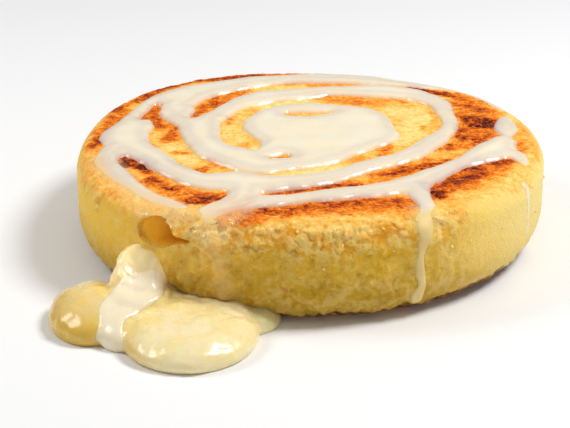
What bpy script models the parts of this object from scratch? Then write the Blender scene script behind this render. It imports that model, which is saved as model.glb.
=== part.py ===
"""A sweet corn arepa: a thick round corn cake, torn open at its front left, with the melted cheese of its
filling running out of the tear into a puddle, and condensed milk poured over its top in a loose spiral.

Frame: metres, +Z up, the origin at the centre of the cake's flat underside. The front is at -Y, and the
tear is at the front left. There are two solids: the cake with the milk fused to it, and the cheese, a layer
that runs through the cake, out of the tear and down to the surface that the cake lies on.
"""

import math

import bmesh
import bpy
from mathutils import Matrix, Vector, noise

MM = 0.001

# The corn cake, turned about Z.
CAKE_RADIUS = 55.0 * MM
CAKE_HEIGHT = 22.3 * MM
TOP_ROUNDING = 4.5 * MM
FOOT_ROUNDING = 8.9 * MM
CAKE_STEPS = 120
TOP_RINGS = (8.0, 16.0, 24.0, 32.0, 39.0, 45.5)  # mm from the axis
RIM_COURSES = 3
WALL_COURSES = 6
FOOT_COURSES = 5
OUT_OF_ROUND = ((3, 0.97, 0.42), (4, -0.56, 0.35))  # waves a turn, cosine and sine part in mm

# Its baked surface: low waves on the top, and crags, pits and a lip of crust on the wall.
TOP_WAVE_LENGTH = 13.0 * MM
TOP_WAVE_HEIGHT = 0.35 * MM
CRAG_SIZE = 6.5 * MM
CRAG_DEPTH = 1.3 * MM
PIT_DEPTH = 1.2 * MM
PIT_WIDTH = 0.22  # of the noise that spaces the pits
CRUST_LIP = 1.0 * MM
CRUST_EDGE = 18.2 * MM  # height at which the browned crust breaks off over the pale crumb
CRUST_RAGGEDNESS = 2.4 * MM
WALL_STARTS = (0.9, 0.97)  # of the radius: where the wall's relief sets in
FOOT_FADE = (0.2 * MM, 2.5 * MM)  # heights between which the wall's relief sets in
RIM_FADE = 2.5 * MM  # below the top, where it ends

# The tear, at one compass direction of the wall.
TEAR_BEARING = math.radians(-125.5)
TEAR_HEIGHT = 18.0 * MM
TEAR_HALF_SIZE = Vector((10.5, 5.6, 3.7)) * MM  # along the radius, round the wall, up
TEAR_TILT = math.radians(-16.0)
TEAR_UNEVENNESS = 0.16

# The cheese: a flat layer in the cake, then lumps from the tear down to the puddle, all in mm as
# (x, y, z, half length along x, along y, along z).
FILLING_RADIUS = 30.0 * MM
FILLING_HEIGHT = 10.8 * MM
FILLING_HALF_THICKNESS = 2.6 * MM
FILLING_STEPS = 28
CHEESE_LUMPS = (
    (-19.0, -25.0, 11.0, 8.0, 8.0, 2.8),
    (-26.5, -34.0, 11.6, 7.0, 7.0, 3.0),
    (-32.5, -41.0, 12.2, 6.0, 6.0, 3.1),
    (-35.5, -44.0, 11.4, 5.6, 4.8, 3.9),
    (-36.0, -46.5, 8.0, 6.4, 5.2, 4.4),
    (-35.0, -49.0, 4.6, 8.8, 7.8, 4.4),
    (-45.3, -50.6, 1.8, 9.6, 12.4, 5.4),
    (-36.5, -56.0, 1.2, 8.8, 9.4, 4.6),
    (-24.8, -57.4, 1.6, 14.9, 17.9, 5.3),
    (-12.0, -50.3, 0.8, 6.2, 7.2, 3.3),
)
CHEESE_GRAIN = 1.5 * MM  # size of the cells that run the lumps together
CHEESE_SOFTENING = 5
CHEESE_FACES_KEPT = 0.44
CLEARANCE = 0.45 * MM

# The condensed milk, as strands: (x, y, width) in mm, read in plan on the top, one tuple a bend.
INNER_STRAND = (
    (-5, -19, 10), (-12, -15.5, 12), (-20, -9.5, 10), (-23.5, -3, 8.5), (-25.2, 5, 8.5), (-24.3, 12, 8),
    (-21.3, 18, 7), (-17, 25, 7), (-10, 31, 9), (-3, 32.5, 10), (5, 35.5, 6.5), (12, 35.3, 8),
    (20, 35, 9), (27, 32.5, 7.5), (32.5, 26.5, 6), (33.7, 19.5, 4.8), (34.5, 12, 3.8), (33, 5, 4.4),
    (29, -2.5, 6), (23, -11, 6), (12, -18.5, 7), (0, -26, 9), (-8, -29, 9), (-16, -27.5, 10),
)  # fmt: skip
OUTER_STRAND = (
    (-16, -27.5, 10), (-25, -27, 8.5), (-31, -21, 7.5), (-34.5, -14, 8), (-39.5, -7, 9), (-43, 1, 11.5),
    (-41.5, 8, 10), (-38.5, 17, 10), (-34.5, 27, 14), (-29, 34.5, 13), (-23, 38.5, 11), (-15, 43, 9),
    (-5, 45.8, 8), (5, 46, 9.5), (15, 45.5, 9), (23, 43, 8), (30, 40, 6.5), (37, 36, 5), (43, 30, 5),
    (46.5, 22, 4.5), (48.3, 12, 5), (47, 4, 5.5), (45.5, -2, 6.5), (42.5, -8, 9.5), (38, -12.5, 7),
    (33.5, -16.5, 4.8), (29, -21.5, 6), (23, -28, 7), (15, -32, 6.5), (6, -34.5, 6.5), (-3, -36.5, 6.5),
    (-11, -38.5, 6.5), (-19, -42.5, 5),
)  # fmt: skip
SHORT_STRANDS = (
    ((-44, -6, 7), (-45.5, -14, 5.5), (-42.5, -22, 6), (-38, -30, 5), (-34, -37, 6)),
    ((-14, -30, 8), (-14, -35, 7), (-16, -39, 6)),
    ((23, -31, 6), (24, -36, 4.5), (26, -41, 4)),
    ((43, -8, 6), (47, -10, 5), (49, -15, 2.5)),
    ((-31, 20, 9), (-30, 13, 6), (-26, 9, 8)),
)
MILK_THICKNESS = 1.5 * MM
MILK_EDGE = 2.0 * MM  # depth over which a strand's flat top rounds off
MILK_LIFT = 0.1 * MM
MILK_STEP = 3.2 * MM
STRAND_ENDS = (0.4, 0.8)  # share of the half width left at a strand's last point and the one before
POOL_CENTRE = Vector((2.0, 3.5)) * MM
POOL_RADIUS = 20.4 * MM
POOL_LOBES = ((1, 0.5, 1.2), (2, -2.7, 1.3), (3, 1.4, 1.5), (4, 0.0, -1.6))  # as OUT_OF_ROUND
POOL_SECTION = ((0.0, 1.3), (0.5, 1.3), (0.8, 1.25), (0.93, 0.95), (1.0, 0.1), (0.93, -0.6), (0.0, -0.8))
POOL_STEPS = 44

# Runs of milk down the wall: bearing in degrees, then (height, half width) in mm, from the top down.
WALL_RUNS = (
    (-62.5, ((20.8, 2.4), (17.0, 1.8), (12.5, 1.4), (8.0, 1.4), (4.6, 1.8))),
    (-21.0, ((20.6, 1.6), (15.5, 1.1), (10.5, 1.1), (6.5, 1.3))),
)
WALL_RUN_SINK = 0.2 * MM
# The run over the cheese: (x, y, height, half width) in mm.
CHEESE_RUN = (
    (-33.0, -47.0, 10.9, 3.2),
    (-35.5, -50.2, 8.0, 4.2),
    (-38.0, -54.0, 6.0, 3.6),
    (-39.9, -60.0, 4.6, 2.8),
    (-41.4, -67.2, 1.8, 3.6),
)

WELD = 0.02 * MM


def remove_everything():
    for thing in list(bpy.data.objects):
        bpy.data.objects.remove(thing, do_unlink=True)


def new_collection(name):
    made = bpy.data.collections.new(name)
    bpy.context.scene.collection.children.link(made)
    return made


def material(name, colour, roughness):
    made = bpy.data.materials.new(name)
    made.use_nodes = True
    shader = made.node_tree.nodes["Principled BSDF"]
    shader.inputs["Base Color"].default_value = (*colour, 1.0)
    shader.inputs["Roughness"].default_value = roughness
    return made


def link(name, mesh, collection):
    made = bpy.data.objects.new(name, mesh)
    collection.objects.link(made)
    return made


def take_primitive(name, collection):
    """The primitive just added, named and moved into the collection."""
    made = bpy.context.object
    made.name = name
    for holder in made.users_collection:
        holder.objects.unlink(made)
    collection.objects.link(made)
    return made


def as_mesh(thing, collection):
    """The evaluated object as a plain mesh object with welded caps, in world space, in its place."""
    bpy.context.view_layer.update()
    graph = bpy.context.evaluated_depsgraph_get()
    mesh = bpy.data.meshes.new_from_object(thing.evaluated_get(graph))
    mesh.transform(thing.matrix_world)
    shape = bmesh.new()
    shape.from_mesh(mesh)
    bmesh.ops.remove_doubles(shape, verts=shape.verts, dist=WELD)
    bmesh.ops.recalc_face_normals(shape, faces=shape.faces)
    shape.to_mesh(mesh)
    shape.free()
    name = thing.name
    bpy.data.objects.remove(thing, do_unlink=True)
    return link(name, mesh, collection)


def waves(table, angle):
    """The sum of a table's waves at an angle, in metres."""
    return sum(MM * (c * math.cos(n * angle) + s * math.sin(n * angle)) for n, c, s in table)


def smooth_step(low, high, value):
    share = min(1.0, max(0.0, (value - low) / (high - low)))
    return share * share * (3.0 - 2.0 * share)


def between(knots, t):
    """A point of a smooth curve from the second to the third of four knots, at t from 0 to 1."""
    before, start, end, after = knots
    bend = 2 * before - 5 * start + 4 * end - after
    twist = 3 * start - before - 3 * end + after
    return 0.5 * (2 * start + t * (end - before) + t * t * bend + t * t * t * twist)


def through(points, step):
    """A smooth curve through the points, each a tuple of numbers, sampled about every step of its xyz."""
    rows = [Vector(p) for p in points]
    rows = [2 * rows[0] - rows[1], *rows, 2 * rows[-1] - rows[-2]]
    found = []
    for knots in zip(rows, rows[1:], rows[2:], rows[3:]):
        pieces = max(1, round((knots[2].xyz - knots[1].xyz).length / step))
        found += [between(knots, i / pieces) for i in range(pieces)]
    return [*found, rows[-2]]


# The corn cake


def cake_radius(angle):
    return CAKE_RADIUS + waves(OUT_OF_ROUND, angle)


def wall_point(angle, height, outwards=0.0):
    """A point of the cake's outside at a bearing and a height, roundings included."""
    inset = 0.0
    if height > CAKE_HEIGHT - TOP_ROUNDING:
        rise = min(TOP_ROUNDING, height - (CAKE_HEIGHT - TOP_ROUNDING))
        inset = TOP_ROUNDING - math.sqrt(TOP_ROUNDING**2 - rise**2)
    elif height < FOOT_ROUNDING:
        inset = FOOT_ROUNDING - math.sqrt(FOOT_ROUNDING**2 - (FOOT_ROUNDING - height) ** 2)
    radius = cake_radius(angle) - inset + outwards
    return Vector((radius * math.cos(angle), radius * math.sin(angle), height))


def top_wave(x, y):
    where = Vector((x, y, 0.0)) / TOP_WAVE_LENGTH
    return TOP_WAVE_HEIGHT * noise.fractal(where, 1.0, 2.0, 3)


def top_height(x, y):
    """Height of the cake's top at a place, falling off over the rounded rim."""
    rim = cake_radius(math.atan2(y, x)) - TOP_ROUNDING
    over = min(TOP_ROUNDING, max(0.0, math.hypot(x, y) - rim))
    return CAKE_HEIGHT - TOP_ROUNDING + math.sqrt(TOP_ROUNDING**2 - over**2) + top_wave(x, y)


def cake_profile():
    """Half of the cake's section from the top's middle, over the rim and down the wall to the underside."""
    points = [(0.0, CAKE_HEIGHT)] + [(r * MM, CAKE_HEIGHT) for r in TOP_RINGS]
    rim_middle = CAKE_HEIGHT - TOP_ROUNDING
    for i in range(RIM_COURSES + 1):
        turn = math.radians(90.0 * (1 - i / RIM_COURSES))
        inset = TOP_ROUNDING * (1 - math.cos(turn))
        points.append((CAKE_RADIUS - inset, rim_middle + TOP_ROUNDING * math.sin(turn)))
    for i in range(1, WALL_COURSES):
        points.append((CAKE_RADIUS, rim_middle + (FOOT_ROUNDING - rim_middle) * i / WALL_COURSES))
    for i in range(FOOT_COURSES + 1):
        turn = math.radians(90.0 * i / FOOT_COURSES)
        inset = FOOT_ROUNDING * (1 - math.cos(turn))
        points.append((CAKE_RADIUS - inset, FOOT_ROUNDING * (1 - math.sin(turn))))
    return points + [(0.0, 0.0)]


def turned(name, profile, steps, collection):
    """A solid turned about Z from a profile of (radius, height), top to bottom, as a plain mesh."""
    mesh = bpy.data.meshes.new(name)
    edges = [(i, i + 1) for i in range(len(profile) - 1)]
    mesh.from_pydata([(r, 0.0, z) for r, z in profile], edges, [])
    made = link(name, mesh, collection)
    screw = made.modifiers.new("turn", "SCREW")
    screw.steps = screw.render_steps = steps
    screw.use_merge_vertices = True
    screw.merge_threshold = WELD
    return as_mesh(made, collection)


def crust_edge(angle):
    """Height of the crust's ragged lower edge at a bearing."""
    where = Vector((math.cos(angle), math.sin(angle), 0.3)) * 5.0
    return CRUST_EDGE + CRUST_RAGGEDNESS * noise.noise(where)


def crag(point, angle):
    """How far the wall stands out at a point: lumps and pits of the crumb, and the crust's lip above."""
    lumps = 0.8 * noise.noise(point / CRAG_SIZE) + 0.4 * noise.noise(point * 2.3 / CRAG_SIZE)
    ridge = abs(noise.noise(point * 1.4 / CRAG_SIZE + Vector((7.0, 0.0, 0.0))))
    pit = 1.0 - smooth_step(0.0, PIT_WIDTH, ridge)
    lip = smooth_step(-0.8 * MM, 0.8 * MM, point.z - crust_edge(angle))
    return (CRAG_DEPTH * lumps - PIT_DEPTH * pit) * (1.0 - 0.6 * lip) + CRUST_LIP * (lip - 0.5)


def corn_cake(collection):
    cake = turned("arepa", cake_profile(), CAKE_STEPS, collection)
    for vertex in cake.data.vertices:
        x, y, z = vertex.co
        radius, angle = math.hypot(x, y), math.atan2(y, x)
        grown = radius * cake_radius(angle) / CAKE_RADIUS
        on_wall = smooth_step(*WALL_STARTS, radius / CAKE_RADIUS)
        on_wall *= smooth_step(*FOOT_FADE, z) * smooth_step(0.0, RIM_FADE, CAKE_HEIGHT - z)
        spread = (grown + on_wall * crag(vertex.co.copy(), angle)) / radius if radius else 1.0
        lift = top_wave(x, y) * smooth_step(CAKE_HEIGHT - RIM_FADE, CAKE_HEIGHT, z)
        vertex.co = (x * spread, y * spread, z + lift)
    return cake


# The milk


def tube(name, points, collection):
    """A strand with a half width at each point, round in section: points are (x, y, z, half width) in m."""
    curve = bpy.data.curves.new(name, "CURVE")
    curve.dimensions = "3D"
    curve.bevel_depth = 1.0
    curve.bevel_resolution = 2
    curve.use_fill_caps = True
    spline = curve.splines.new("POLY")
    spline.points.add(len(points) - 1)
    for knot, (x, y, z, half) in zip(spline.points, points):
        knot.co = (x, y, z, 1.0)
        knot.radius = half
    return as_mesh(link(name, curve, collection), collection)


def tapered(points):
    """The strand with its half width drawn in at both ends."""
    last = len(points) - 1
    found = []
    for i, (x, y, z, half) in enumerate(points):
        from_end = min(i, last - i)
        found.append((x, y, z, half * (STRAND_ENDS[from_end] if from_end < len(STRAND_ENDS) else 1.0)))
    return found


def poured(name, bends, collection):
    """A flat strand of milk on the top, through bends of (x, y, width) in mm."""
    knots = [(x * MM, y * MM, 0.0, width / 2 * MM) for x, y, width in bends]
    strand = tube(name, tapered(through(knots, MILK_STEP)), collection)
    for vertex in strand.data.vertices:
        x, y, z = vertex.co
        vertex.co.z = top_height(x, y) + MILK_LIFT + MILK_THICKNESS * math.tanh(z / MILK_EDGE)
    return strand


def pool(collection):
    """The round pool of milk in the middle of the top."""
    profile = [(share * POOL_RADIUS, height * MM) for share, height in POOL_SECTION]
    made = turned("milk_pool", profile, POOL_STEPS, collection)
    for vertex in made.data.vertices:
        x, y, z = vertex.co
        spread = 1.0 + waves(POOL_LOBES, math.atan2(y, x)) / POOL_RADIUS
        x, y = POOL_CENTRE.x + x * spread, POOL_CENTRE.y + y * spread
        vertex.co = (x, y, z + top_height(x, y))
    return made


def wall_run(name, bearing, knots, collection):
    """Milk that has run over the rim and down the wall."""
    angle = math.radians(bearing)
    points = []
    for height, half in knots:
        where = wall_point(angle, height * MM, outwards=-WALL_RUN_SINK)
        points.append((*where, half * MM))
    return tube(name, tapered(through(points, MILK_STEP)), collection)


def milk_on_cake(collection):
    poured("inner_strand", INNER_STRAND, collection)
    poured("outer_strand", OUTER_STRAND, collection)
    for i, bends in enumerate(SHORT_STRANDS):
        poured(f"short_strand_{i}", bends, collection)
    pool(collection)
    for i, (bearing, knots) in enumerate(WALL_RUNS):
        wall_run(f"wall_run_{i}", bearing, knots, collection)


# The cheese


def lump(name, row, grow, collection):
    x, y, z, half_x, half_y, half_z = (value * MM for value in row)
    bpy.ops.mesh.primitive_ico_sphere_add(subdivisions=3, radius=1.0, location=(x, y, z))
    made = take_primitive(name, collection)
    made.scale = (half_x + grow, half_y + grow, half_z + grow)
    return as_mesh(made, collection)


def melted(name, grow, collection):
    """The lumps of cheese run together into one soft body."""
    whole = bmesh.new()
    for i, row in enumerate(CHEESE_LUMPS):
        one = lump(f"lump_{i}", row, grow, collection)
        whole.from_mesh(one.data)
        bpy.data.objects.remove(one, do_unlink=True)
    mesh = bpy.data.meshes.new(name)
    whole.to_mesh(mesh)
    whole.free()
    made = link(name, mesh, collection)
    remesh = made.modifiers.new("run together", "REMESH")
    remesh.mode = "VOXEL"
    remesh.voxel_size = CHEESE_GRAIN
    soften = made.modifiers.new("soften", "SMOOTH")
    soften.factor = 0.5
    soften.iterations = CHEESE_SOFTENING
    thin = made.modifiers.new("fewer faces", "DECIMATE")
    thin.ratio = CHEESE_FACES_KEPT
    return as_mesh(made, collection)


def filling(name, grow, collection):
    """The layer of cheese in the cake, with a round edge."""
    rim = FILLING_RADIUS + grow
    half = FILLING_HALF_THICKNESS + grow
    turns = [math.radians(a) for a in (30, 60, 90, 120, 150)]
    edge = [(rim - half * (1 - math.sin(a)), FILLING_HEIGHT + half * math.cos(a)) for a in turns]
    profile = [(0.0, FILLING_HEIGHT + half), *edge, (0.0, FILLING_HEIGHT - half)]
    return turned(name, profile, FILLING_STEPS, collection)


def boolean(target, tools, operation):
    """Joins or cuts target with every object of the collection, in one step, and removes them."""
    modifier = target.modifiers.new(tools.name, "BOOLEAN")
    modifier.operation = operation
    modifier.operand_type = "COLLECTION"
    modifier.collection = tools
    modifier.solver = "MANIFOLD"
    home = target.users_collection[0]
    name = target.name
    target.name = name + "_before"
    done = as_mesh(target, home)
    done.name = name
    for tool in list(tools.objects):
        bpy.data.objects.remove(tool, do_unlink=True)
    bpy.data.collections.remove(tools)
    return done


def cheese_body(name, grow, collection):
    made = melted(name, grow, collection)
    joined = new_collection(name + "_filling")
    filling(name + "_layer", grow, joined)
    return boolean(made, joined, "UNION")


def cut_level(target):
    """Cuts off what lies below the surface that the cake lies on."""
    cut = new_collection(target.name + "_floor")
    size = 4 * CAKE_RADIUS
    bpy.ops.mesh.primitive_cube_add(size=size, location=(0.0, 0.0, -size / 2))
    as_mesh(take_primitive(target.name + "_floor_block", cut), cut)
    return boolean(target, cut, "DIFFERENCE")


def cheese(collection):
    made = cheese_body("cheese", 0.0, collection)
    run = new_collection("cheese_milk")
    points = [(x * MM, y * MM, z * MM, half * MM) for x, y, z, half in CHEESE_RUN]
    tube("cheese_run", tapered(through(points, MILK_STEP)), run)
    made = boolean(made, run, "UNION")
    return cut_level(made)


# The tear


def tear_pocket(collection):
    """The uneven hollow that the tear opens in the wall."""
    bpy.ops.mesh.primitive_ico_sphere_add(subdivisions=3, radius=1.0)
    made = take_primitive("tear_pocket", collection)
    for vertex in made.data.vertices:
        vertex.co *= 1.0 + TEAR_UNEVENNESS * noise.noise(vertex.co * 1.7)
    made.matrix_world = (
        Matrix.Translation(wall_point(TEAR_BEARING, TEAR_HEIGHT))
        @ Matrix.Rotation(TEAR_BEARING, 4, "Z")
        @ Matrix.Rotation(TEAR_TILT, 4, "X")
        @ Matrix.Diagonal((*TEAR_HALF_SIZE, 1.0))
    )
    return as_mesh(made, collection)


def main():
    remove_everything()
    parts = new_collection("sweet_corn_arepa")
    corn = material("corn_cake", (0.85, 0.52, 0.13), 0.6)
    melt = material("melted_cheese", (0.88, 0.68, 0.28), 0.25)

    cake = corn_cake(parts)
    milk = new_collection("milk")
    milk_on_cake(milk)
    cake = boolean(cake, milk, "UNION")
    hollow = new_collection("hollow")
    tear_pocket(hollow)
    cheese_body("cheese_room", CLEARANCE, hollow)
    cake = boolean(cake, hollow, "DIFFERENCE")
    cake.data.materials.append(corn)

    filling_and_puddle = cheese(parts)
    filling_and_puddle.data.materials.append(melt)


main()
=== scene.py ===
"""The looks of a sweet corn arepa: a thick round corn cake, browned on top and torn open at its front left,
with melted cheese run out of the tear into a puddle, and condensed milk poured over it in a loose spiral.

The file is laid out as an add-on and run as a script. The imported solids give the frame: metres, +Z up, the
origin at the centre of the cake's flat underside, the front at -Y. A place on the cake is given either in
plan, as (x, y) seen from above, where the rim, the wall and the foot are rolled out flat round the top, or
on the wall, as a bearing in degrees and a height.
"""

from math import pi, radians

import bpy
import numpy as np
from mathutils import Matrix, Vector


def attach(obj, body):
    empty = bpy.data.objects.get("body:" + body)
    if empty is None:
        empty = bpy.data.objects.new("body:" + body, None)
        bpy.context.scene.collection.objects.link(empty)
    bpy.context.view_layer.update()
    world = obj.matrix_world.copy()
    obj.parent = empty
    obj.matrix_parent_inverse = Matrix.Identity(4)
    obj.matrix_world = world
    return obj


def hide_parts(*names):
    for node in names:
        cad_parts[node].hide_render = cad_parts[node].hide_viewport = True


bl_info = {
    "name": "Sweet corn arepa",
    "version": (1, 0, 0),
    "blender": (4, 5, 0),
    "location": "3D View > Sidebar > Arepa",
    "description": "Corn cake, melted cheese and condensed milk around the packed solids",
    "category": "Object",
}

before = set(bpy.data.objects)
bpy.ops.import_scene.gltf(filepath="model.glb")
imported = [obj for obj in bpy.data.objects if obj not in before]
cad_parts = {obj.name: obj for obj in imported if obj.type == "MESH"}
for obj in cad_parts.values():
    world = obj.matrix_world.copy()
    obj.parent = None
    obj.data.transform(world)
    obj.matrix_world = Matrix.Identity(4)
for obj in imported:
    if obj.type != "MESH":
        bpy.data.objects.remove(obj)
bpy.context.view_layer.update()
MM = 0.001

# The camera, fitted to the photo, and the lamps, each with its place and its width in metres.
PHOTO_WIDTH = 570  # pixels
FOCAL_LENGTH = 1680.0  # pixels
CAMERA_AIM = Vector((-5.15, 0.0, 3.5)) * MM
CAMERA_DISTANCE = 400.0 * MM
CAMERA_ELEVATION = radians(22.62)
KEY_LAMP = ((0.32, -0.02, 0.48), 0.20)
FILL_LAMP = ((-0.40, 0.02, 0.38), 0.24)

# The corn cake's section, as in the solids.
CAKE_RADIUS = 55.0 * MM
CAKE_HEIGHT = 22.3 * MM
TOP_ROUNDING = 4.5 * MM
FOOT_ROUNDING = 8.9 * MM
OUT_OF_ROUND = ((3, 0.97, 0.42), (4, -0.56, 0.35))  # waves a turn, cosine and sine part in mm
TOP_FLAT = CAKE_RADIUS - TOP_ROUNDING
RIM_END = TOP_FLAT + TOP_ROUNDING * pi / 2
WALL_END = RIM_END + CAKE_HEIGHT - TOP_ROUNDING - FOOT_ROUNDING
FOOT_END = WALL_END + FOOT_ROUNDING * pi / 2
UNDERSIDE_END = FOOT_END + CAKE_RADIUS - FOOT_ROUNDING
SIDE_WAYS = np.linspace(TOP_FLAT, FOOT_END, 400)

# Its mesh: courses at these ways from the top's middle, in mm, and steps round, closer at the front.
TOP_STEP = 0.56 * MM
WALL_STEP = 0.36 * MM
FRONT_BEARINGS = (-146.0, -16.0)
MIDDLE_COURSES = (4.0, 8.0, 11.0, 13.0)
UNDERSIDE_COURSES = (44.0, 36.0, 24.0, 10.0)

# Strands of condensed milk on the top: (x, y, width) in mm.
INNER_STRAND = (
    (-5, -19, 10), (-12, -15.5, 12), (-20, -9.5, 10), (-23.5, -3, 8.5), (-25.2, 5, 9.5), (-24.6, 12, 8),
    (-21.3, 18, 7), (-17, 24.6, 6.6), (-10, 30.4, 8), (-3, 32, 8.6), (5, 35, 6), (12, 35, 7.4),
    (20, 35, 9), (27, 32.5, 7.5), (32.5, 26.5, 6), (33.7, 19.5, 4.8), (34.5, 12, 3.8), (33, 5, 4.4),
    (29, -2.5, 6), (23, -11, 6), (12, -18.5, 7), (0, -26, 9), (-8, -29, 9), (-16, -27.5, 10),
)  # fmt: skip
OUTER_STRAND = (
    (-16, -27, 9.4), (-24, -26.4, 7.4), (-30.2, -20.4, 6.8), (-34.4, -13.6, 7.6), (-39.5, -7, 9),
    (-43, 1, 11.5), (-41.5, 8, 10), (-38.5, 17, 10), (-33.6, 26.4, 13), (-28.2, 33.6, 12), (-22.4, 37.6, 10),
    (-15, 42, 8.4), (-5, 45, 7.4), (5, 46, 9), (15, 45.5, 9), (23, 43.4, 7), (30, 41, 5), (37.5, 37, 3.4),
    (43.6, 31, 3.0), (47.4, 23.5, 2.2), (48.6, 17.5, 1.4), (47.8, 12.5, 4.4), (47.4, 8, 5.6),
    (47.2, 4.4, 4.8), (46.9, 1.6, 3.0), (45.5, -2, 6.5), (42.5, -8, 9.5), (38, -12.5, 7), (33.5, -16.5, 4.8),
    (29, -21.5, 6), (23, -28, 7), (15, -32, 6.5), (6, -34.5, 6.5), (-3, -36.5, 6.5), (-11, -38.8, 6.5),
    (-18, -42, 5), (-22, -43.5, 3),
)  # fmt: skip
SHORT_STRANDS = (
    (
        (-44, -6, 7), (-45.5, -14, 5.5), (-42.5, -22, 5.6), (-38, -30, 4.4), (-34.5, -35, 3.8),
        (-30.5, -39, 4.2), (-27, -41.6, 2.6),
    ),
    ((-14, -30, 8), (-14, -35, 7), (-16.5, -39, 6), (-19.5, -43, 5.5), (-21, -47.5, 3.6)),
    ((23, -31, 6), (24, -36, 4.5), (25.0, -40.5, 3.6), (24.4, -44.5, 2.8), (24.2, -48.5, 2.6)),
    ((43, -8, 6), (47, -10, 5), (49, -15, 2.5)),
    ((-31, 20, 9), (-30, 13, 6), (-26, 9, 8)),
)  # fmt: skip
POOL_CENTRE = (2.0, 3.5)
POOL_OUTLINE = (
    (22, 3), (20.6, 10), (19.4, 16), (14.6, 21.8), (6, 24.4), (-2, 24.2), (-9, 21.6), (-14.6, 13), (-15, 6),
    (-11, -2), (-11.5, -8), (-13, -13), (-9, -19), (0, -20.5), (6, -17), (9, -13), (14, -8), (20, -2),
)  # fmt: skip
# Where the milk leaves the crust bare inside a strand or the pool: (x, y, width) in mm.
BARE_SPOTS = (
    ((-4, 17.2, 2.6), (-1, 16.8, 3.6), (2.5, 17.6, 3.0), (5.5, 18.8, 1.8)),
    ((-8.2, -12.8, 1.6), (-5.2, -11.8, 2.6)),
    ((-8, -23.6, 2.2), (-4, -22.3, 3.2), (1, -20.6, 3.4), (5, -18.8, 3.4), (9, -16, 3.4), (13, -13, 3.2)),
    ((-9.5, -34.8, 1.4), (-5, -33.6, 2.6), (0, -32, 2.8), (5, -30.4, 2.8)),
    ((-27.6, 14.8, 1.6), (-26.4, 18, 2.6), (-24.6, 22, 4), (-22, 26, 4.4)),
    ((45.6, 17.6, 3.6), (54, 20.5, 5)),
    ((-36.6, 24.2, 1.8), (-37.2, 20, 2.4), (-38.8, 15.4, 3.0), (-39.4, 14.6, 2.6)),
    ((-36.6, 16.4, 1.4), (-36, 13.6, 2.6), (-35, 10.8, 3.6), (-34, 9.8, 2.6)),
)
# Runs of milk down the wall: bearing, then height and half width in mm, from the top down.
WALL_RUNS = (
    (
        (-63.6, 21.6, 1.1), (-64.0, 19.5, 1.3), (-64.4, 17.0, 0.9), (-64.9, 14.0, 0.65), (-64.7, 11.0, 0.6),
        (-64.2, 8.5, 0.7), (-64.4, 6.5, 0.9), (-64.8, 4.6, 1.3),
    ),
    ((-27.0, 20.5, 0.9), (-26.4, 16.0, 0.8), (-26.0, 11.0, 0.7), (-26.0, 9.0, 0.6)),
)  # fmt: skip
PALER_RUN = np.radians((-45.0, -35.0))  # over these the wall's milk turns into that of the paler run
MILK_CELL = 0.45 * MM
MILK_REACH = 78.0 * MM  # how far the milk's mesh reaches in plan, each way
FAR = 6.0 * MM  # depths outside a strand are counted no further than this
MILK_MERGE = 0.7 * MM
MILK_ROUNDING = 2.1 * MM
MILK_SINK = 0.7 * MM
RUN_SINK = 1.0 * MM
RUN_THICKNESS = 0.55  # of the milk's on the top
RUN_WARMTH = 0.16
RUN_SMOOTHING = 2
# Where the milk gets thinner as it nears the wall: by how much, and the ways that this starts and ends at.
MILK_THINS = (
    (0.35, TOP_FLAT - 7.0 * MM, TOP_FLAT),
    (0.35, TOP_FLAT - 3.0 * MM, TOP_FLAT),
    (0.25, RIM_END - 3.0 * MM, RIM_END),
)

# Films of thin milk soaked into the crust, as (x, y, width) in mm, and into the crumb, like the runs.
FILMS = (
    ((-46, -14, 7), (-41, -26, 6), (-35, -37, 7), (-27, -44, 8)),
    ((-14, -42, 6), (-17, -47, 7), (-20.5, -53, 6)),
    ((23, -42, 5), (27, -47, 4)),
)
WALL_FILMS = (
    ((-109.0, 15.0, 1.2), (-109.0, 11.0, 1.5), (-109.0, 7.0, 1.7)),
    ((-113.0, 21.0, 3.6), (-111.0, 18.0, 2.0)),
)
# Where the milk on the top is so thin that the crust shows through it: (x, y, width) in mm.
FAINT_MILK = (
    ((-49, -14, 8), (-46, -25, 8), (-40, -34, 8), (-31, -42, 9)),
    ((-15, -39, 7), (-18, -44, 8), (-21, -50, 9)),
)

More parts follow.
